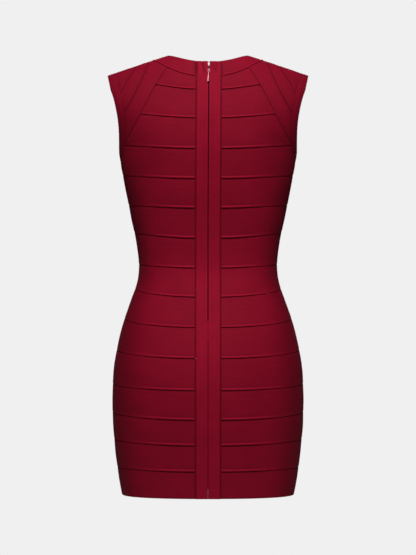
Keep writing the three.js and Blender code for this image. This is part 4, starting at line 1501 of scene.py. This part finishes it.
class DressSizes(bpy.types.PropertyGroup):
    """Sizes of the cloth's surface."""

    bead: bpy.props.FloatProperty(
        name="Rolled edge",
        description="Height of the rolled lower edges, as a share of the usual one",
        default=1.0,
    )
    ripple: bpy.props.FloatProperty(
        name="Ripple", description="Height of the soft unevenness of the cloth, in millimetres", default=0.3
    )
    strip_lift: bpy.props.FloatProperty(
        name="Strip lift",
        description="How far the centre back strips stand off, in millimetres",
        default=0.85,
    )
    stretch: bpy.props.FloatProperty(
        name="Stretch", description="Length of a worn band as a share of its cut length", default=1.08
    )
    rib_spacing: bpy.props.FloatProperty(
        name="Rib spacing", description="Distance between two ribs", default=0.0019, unit="LENGTH"
    )
    rib_depth: bpy.props.FloatProperty(
        name="Rib depth", description="Height of a rib", default=0.00022, unit="LENGTH", precision=5
    )
    stitch_spacing: bpy.props.FloatProperty(
        name="Stitch spacing", description="Distance between two knitted loops", default=0.0013, unit="LENGTH"
    )
    # Painted highlight on the crests of the rolled edges
    crest_highlight_tone: bpy.props.FloatProperty(
        name="Edge tone", description="Brightness of the rolled edges against the cloth", default=1.42
    )
    # Painted light: the strips use a lighter copy of the band knit
    strip_light_tone: bpy.props.FloatProperty(
        name="Strip tone", description="Brightness of the centre strips against the bands", default=1.2
    )
    # Painted shade in the seams, at sunk ends, along free edges, in pucker troughs and on the sides
    painted_shade_tone: bpy.props.FloatProperty(
        name="Seam tone", description="Brightness of the seams against the cloth", default=0.55
    )


class DressColours(bpy.types.PropertyGroup):
    """Colours of the dress."""

    knit: bpy.props.FloatVectorProperty(
        name="Knit", description="Colour of the bands", subtype="COLOR", default=(0.232, 0.0030, 0.0172)
    )
    tape: bpy.props.FloatVectorProperty(
        name="Zip tape",
        description="Colour of the zip's tape and coil",
        subtype="COLOR",
        default=(0.04, 0.002, 0.006),
    )
    enamel: bpy.props.FloatVectorProperty(
        name="Zip pull",
        description="Colour of the slider and pull",
        subtype="COLOR",
        default=(0.66, 0.22, 0.28),
    )


class StudioSettings(bpy.types.PropertyGroup):
    """Light and camera."""

    key_power: bpy.props.FloatProperty(
        name="Key light", description="Power of the large light above the camera", default=2.6, unit="POWER"
    )
    fill_power: bpy.props.FloatProperty(
        name="Fill light", description="Power of the soft light at the camera", default=0.06, unit="POWER"
    )
    front_power: bpy.props.FloatProperty(
        name="Front light",
        description="Power of the light on the front of the dress",
        default=8.0,
        unit="POWER",
    )
    ambient: bpy.props.FloatProperty(
        name="Ambient", description="Brightness of the light from all round", default=0.016
    )
    lens: bpy.props.FloatProperty(
        name="Lens", description="Focal length", default=154.1, subtype="DISTANCE_CAMERA"
    )
    distance: bpy.props.FloatProperty(
        name="Distance", description="From the camera to the dress", default=4.3, unit="LENGTH"
    )


def finish_for(kind):
    """The material of a kind of piece, made once."""
    scene = bpy.context.scene
    name = kind + "_finish"
    if name in bpy.data.materials:
        return bpy.data.materials[name]
    if kind == "band_knit":
        return knit_material(name, scene.dress_colours, scene.dress_sizes)
    # The strips: a lighter copy of the band knit, painted light
    if kind == "strip_knit":
        return knit_material(name, scene.dress_colours, scene.dress_sizes, scene.dress_sizes.strip_light_tone)
    if kind == "zip_tape":
        return tape_material(name, scene.dress_colours)
    # The slider: a darker copy of the pull's enamel, painted shade
    if kind == "slider_metal":
        return enamel_material(name, scene.dress_colours, SLIDER_SHADE)
    return enamel_material(name, scene.dress_colours)


def add_cloth(name, stations, nodes, finish="band_knit", slot="band_knit", **shape):
    """Makes one piece of cloth, in place of its CAD node."""
    sizes = bpy.context.scene.dress_sizes
    piece, measure = knit_piece(name, stations, sizes.ripple, **shape)
    dress_piece(piece, finish_for(finish), nodes)
    declare_cloth(piece, measure, sizes.stretch)
    return piece


# Operators


class DRESS_OT_back_bands(bpy.types.Operator):
    """Make the horizontal bands of the back"""

    bl_idname = "dress.back_bands"
    bl_label = "Back bands"

    def execute(self, context):
        sizes = context.scene.dress_sizes
        for number in range(len(BAND_EDGES)):
            for name, side in SIDES:
                label = f"{number + 1:02d}_{name}"
                stations = back_band_stations(number, side)
                add_cloth(f"knit_back_band_{label}", stations, [f"back_band_{label}"], bead=sizes.bead)
        return {"FINISHED"}


class DRESS_OT_front_bands(bpy.types.Operator):
    """Make the horizontal bands and the yoke of the front"""

    bl_idname = "dress.front_bands"
    bl_label = "Front bands"

    def execute(self, context):
        sizes = context.scene.dress_sizes
        for name, side in SIDES:
            add_cloth(f"knit_front_yoke_{name}", yoke_stations(side), [f"front_yoke_{name}"], bead=sizes.bead)
        for number in range(FIRST_FRONT_BAND, len(BAND_EDGES)):
            label = f"{number + 1:02d}"
            stations = front_band_stations(number)
            add_cloth(f"knit_front_band_{label}", stations, [f"front_band_{label}"], bead=sizes.bead)
        return {"FINISHED"}


class DRESS_OT_neckband(bpy.types.Operator):
    """Make the neckband"""

    bl_idname = "dress.neckband"
    bl_label = "Neckband"

    def execute(self, context):
        add_cloth("knit_neckband", neckband_stations(), ["neckband"], bead=0.6, puckered=True)
        return {"FINISHED"}


class DRESS_OT_shoulder_bands(bpy.types.Operator):
    """Make the three bands over each shoulder"""

    bl_idname = "dress.shoulder_bands"
    bl_label = "Shoulder bands"

    def execute(self, context):
        inner_edge = {face: inner_band_edge(face, TURN_SHARE) for face in (BACK, FRONT)}
        middle_edge = {face: middle_diagonal for face in (BACK, FRONT)}
        outer_edge = {face: outer_diagonal for face in (BACK, FRONT)}
        ends = [seam_share_at_drop(drop) for drop in (INNER_END_DROP, MIDDLE_END_DROP, OUTER_END_DROP)]
        plans = {
            "inner": (inner_edge, middle_diagonal, seam_part(ends[0], ends[1])),
            "middle": (middle_edge, outer_diagonal, seam_part(ends[1], ends[2])),
            "outer": (outer_edge, seam_part(0, ends[2]), None),
        }
        for row, (inner_at, outer_at, end_at) in plans.items():
            for name, side in SIDES:
                edges_at = shoulder_edges(row, TURN_SHARE)
                tip_width = TIP_WIDTH if row == "outer" else PINCH_WIDTH
                stations = shoulder_stations(inner_at, outer_at, end_at, side, edges_at, tip_width)
                label = f"{row}_{name}"
                add_cloth(f"knit_shoulder_band_{label}", stations, [f"shoulder_band_{label}"], bead=0.6)
        return {"FINISHED"}


class DRESS_OT_armhole_bands(bpy.types.Operator):
    """Make the bands round the armholes"""

    bl_idname = "dress.armhole_bands"
    bl_label = "Armhole bands"

    def execute(self, context):
        for name, side in SIDES:
            stations = armhole_stations(side)
            add_cloth(f"knit_armhole_band_{name}", stations, [f"armhole_band_{name}"], ring=True, bead=0.35)
        return {"FINISHED"}


class DRESS_OT_centre_strips(bpy.types.Operator):
    """Make the two strips down the centre of the back"""

    bl_idname = "dress.centre_strips"
    bl_label = "Centre back strips"

    def execute(self, context):
        sizes = context.scene.dress_sizes
        for name, side in SIDES:
            add_cloth(
                f"knit_centre_strip_{name}",
                strip_stations(side),
                [f"centre_strip_{name}"],
                finish="strip_knit",
                bead=0.3,
                raised=sizes.strip_lift,
                puckered=True,
            )
        return {"FINISHED"}


class DRESS_OT_zip(bpy.types.Operator):
    """Make the zip: tapes, coil, slider, pull and the loop above it"""

    bl_idname = "dress.zip"
    bl_label = "Zip"

    def execute(self, context):
        for name, side in SIDES:
            node_name = f"zip_tape_{name}"
            stations = tape_stations(side)
            looks = {"finish": "zip_tape", "slot": "zip_tape", "raised": TAPE_LIFT, "crown": 0}
            add_cloth(f"woven_{node_name}", stations, [node_name], **looks)
        dress_piece(zip_coil(), finish_for("zip_tape"), [])
        dress_piece(neck_loop(), finish_for("zip_tape"), [])
        dress_piece(slider_piece(), finish_for("slider_metal"), ["zip_slider"])
        dress_piece(pull_piece(), finish_for("zip_metal"), ["zip_pull"], body="zip_pull")
        return {"FINISHED"}


class DRESS_OT_studio(bpy.types.Operator):
    """Make the floor, lights and camera"""

    bl_idname = "dress.studio"
    bl_label = "Studio"

    def execute(self, context):
        studio = context.scene.dress_studio
        add_camera(studio)
        add_floor()
        add_lights(studio)
        context.scene.view_settings.view_transform = "Standard"
        return {"FINISHED"}


CAMERA_HEIGHT = -0.3853
FLOOR = {"height": -1.3, "radius": 2.4, "corners": 96, "tone": 0.5, "glow": 0.45}
SENSOR_WIDTH = 36
BACKGROUND = 0.871

# Place, aim, width and height, and the beam's spread in degrees
LIGHTS = {
    "key": ((0, -1.85, 2.75), (0, 0, -0.15), (0.15, 1.2), 17),
    "fill": ((0, -4.6, -0.2), (0, 0, -0.4), (0.3, 1.6), 17),
    "front": ((0, 3.2, 0.7), (0, 0, -0.35), (1.2, 1.2), 60),
}


def add_camera(studio):
    data = bpy.data.cameras.new("camera")
    data.lens = studio.lens
    data.sensor_width = SENSOR_WIDTH
    camera = bpy.data.objects.new("camera", data)
    camera.location = (0, -studio.distance, CAMERA_HEIGHT)
    camera.rotation_euler = (math.radians(90), 0, 0)
    bpy.context.scene.collection.objects.link(camera)
    bpy.context.scene.camera = camera


def add_floor():
    bm = bmesh.new()
    bmesh.ops.create_circle(bm, cap_ends=True, segments=FLOOR["corners"], radius=FLOOR["radius"])
    bmesh.ops.translate(bm, verts=bm.verts, vec=(0, 0, FLOOR["height"]))
    floor = finish_mesh("floor", bm)
    material, _, shader = new_material("floor_paint")
    set_inputs(
        shader,
        Base_Color=(FLOOR["tone"], FLOOR["tone"], FLOOR["tone"], 1),
        Emission_Color=(1, 1, 1, 1),
        Emission_Strength=FLOOR["glow"],
        Roughness=0.9,
    )
    floor.data.materials.append(material)


def add_light(name, power):
    place, target, size, beam = LIGHTS[name]
    data = bpy.data.lights.new(name, "AREA")
    data.shape = "RECTANGLE"
    data.size, data.size_y = size
    data.energy = power
    data.spread = math.radians(beam)
    light = bpy.data.objects.new(name, data)
    light.location = place
    light.rotation_euler = (Vector(target) - Vector(place)).to_track_quat("-Z", "Y").to_euler()
    bpy.context.scene.collection.objects.link(light)


def add_lights(studio):
    add_light("key", studio.key_power)
    add_light("fill", studio.fill_power)
    add_light("front", studio.front_power)
    world = bpy.data.worlds.new("studio")
    bpy.context.scene.world = world
    world.use_nodes = True
    tree = world.node_tree
    tree.nodes.clear()
    output = node(tree, "ShaderNodeOutputWorld", (400, 0))
    blend = node(tree, "ShaderNodeMixShader", (200, 0))
    path = node(tree, "ShaderNodeLightPath", (0, 200))
    light = node(tree, "ShaderNodeBackground", (0, 0))
    backdrop = node(tree, "ShaderNodeBackground", (0, -140))
    set_inputs(light, Color=(1, 1, 1, 1), Strength=studio.ambient)
    set_inputs(backdrop, Color=(1, 1, 1, 1), Strength=BACKGROUND)
    tree.links.new(path.outputs["Is Camera Ray"], blend.inputs[0])
    tree.links.new(light.outputs[0], blend.inputs[1])
    tree.links.new(backdrop.outputs[0], blend.inputs[2])
    tree.links.new(blend.outputs[0], output.inputs[0])


class DRESS_PT_sidebar(bpy.types.Panel):
    """Lists the sizes, the colours and the pieces"""

    bl_label = "Dress"
    bl_idname = "DRESS_PT_sidebar"
    bl_space_type = "VIEW_3D"
    bl_region_type = "UI"
    bl_category = "Dress"

    def draw(self, context):
        scene = context.scene
        for settings in (scene.dress_sizes, scene.dress_colours, scene.dress_studio):
            box = self.layout.box()
            for name in settings.bl_rna.properties.keys():
                if name not in ("rna_type", "name"):
                    box.prop(settings, name)
        for operator in OPERATORS:
            self.layout.operator(operator.bl_idname)


OPERATORS = (
    DRESS_OT_back_bands,
    DRESS_OT_front_bands,
    DRESS_OT_neckband,
    DRESS_OT_shoulder_bands,
    DRESS_OT_armhole_bands,
    DRESS_OT_centre_strips,
    DRESS_OT_zip,
    DRESS_OT_studio,
)
CLASSES = (DressSizes, DressColours, StudioSettings, *OPERATORS, DRESS_PT_sidebar)


def register():
    for made in CLASSES:
        bpy.utils.register_class(made)
    bpy.types.Scene.dress_sizes = bpy.props.PointerProperty(type=DressSizes)
    bpy.types.Scene.dress_colours = bpy.props.PointerProperty(type=DressColours)
    bpy.types.Scene.dress_studio = bpy.props.PointerProperty(type=StudioSettings)


def unregister():
    for name in ("dress_sizes", "dress_colours", "dress_studio"):
        delattr(bpy.types.Scene, name)
    for made in reversed(CLASSES):
        bpy.utils.unregister_class(made)


def main():
    register()
    for operator in OPERATORS:
        group, name = operator.bl_idname.split(".")
        getattr(getattr(bpy.ops, group), name)()


if __name__ == "__main__":
    main()
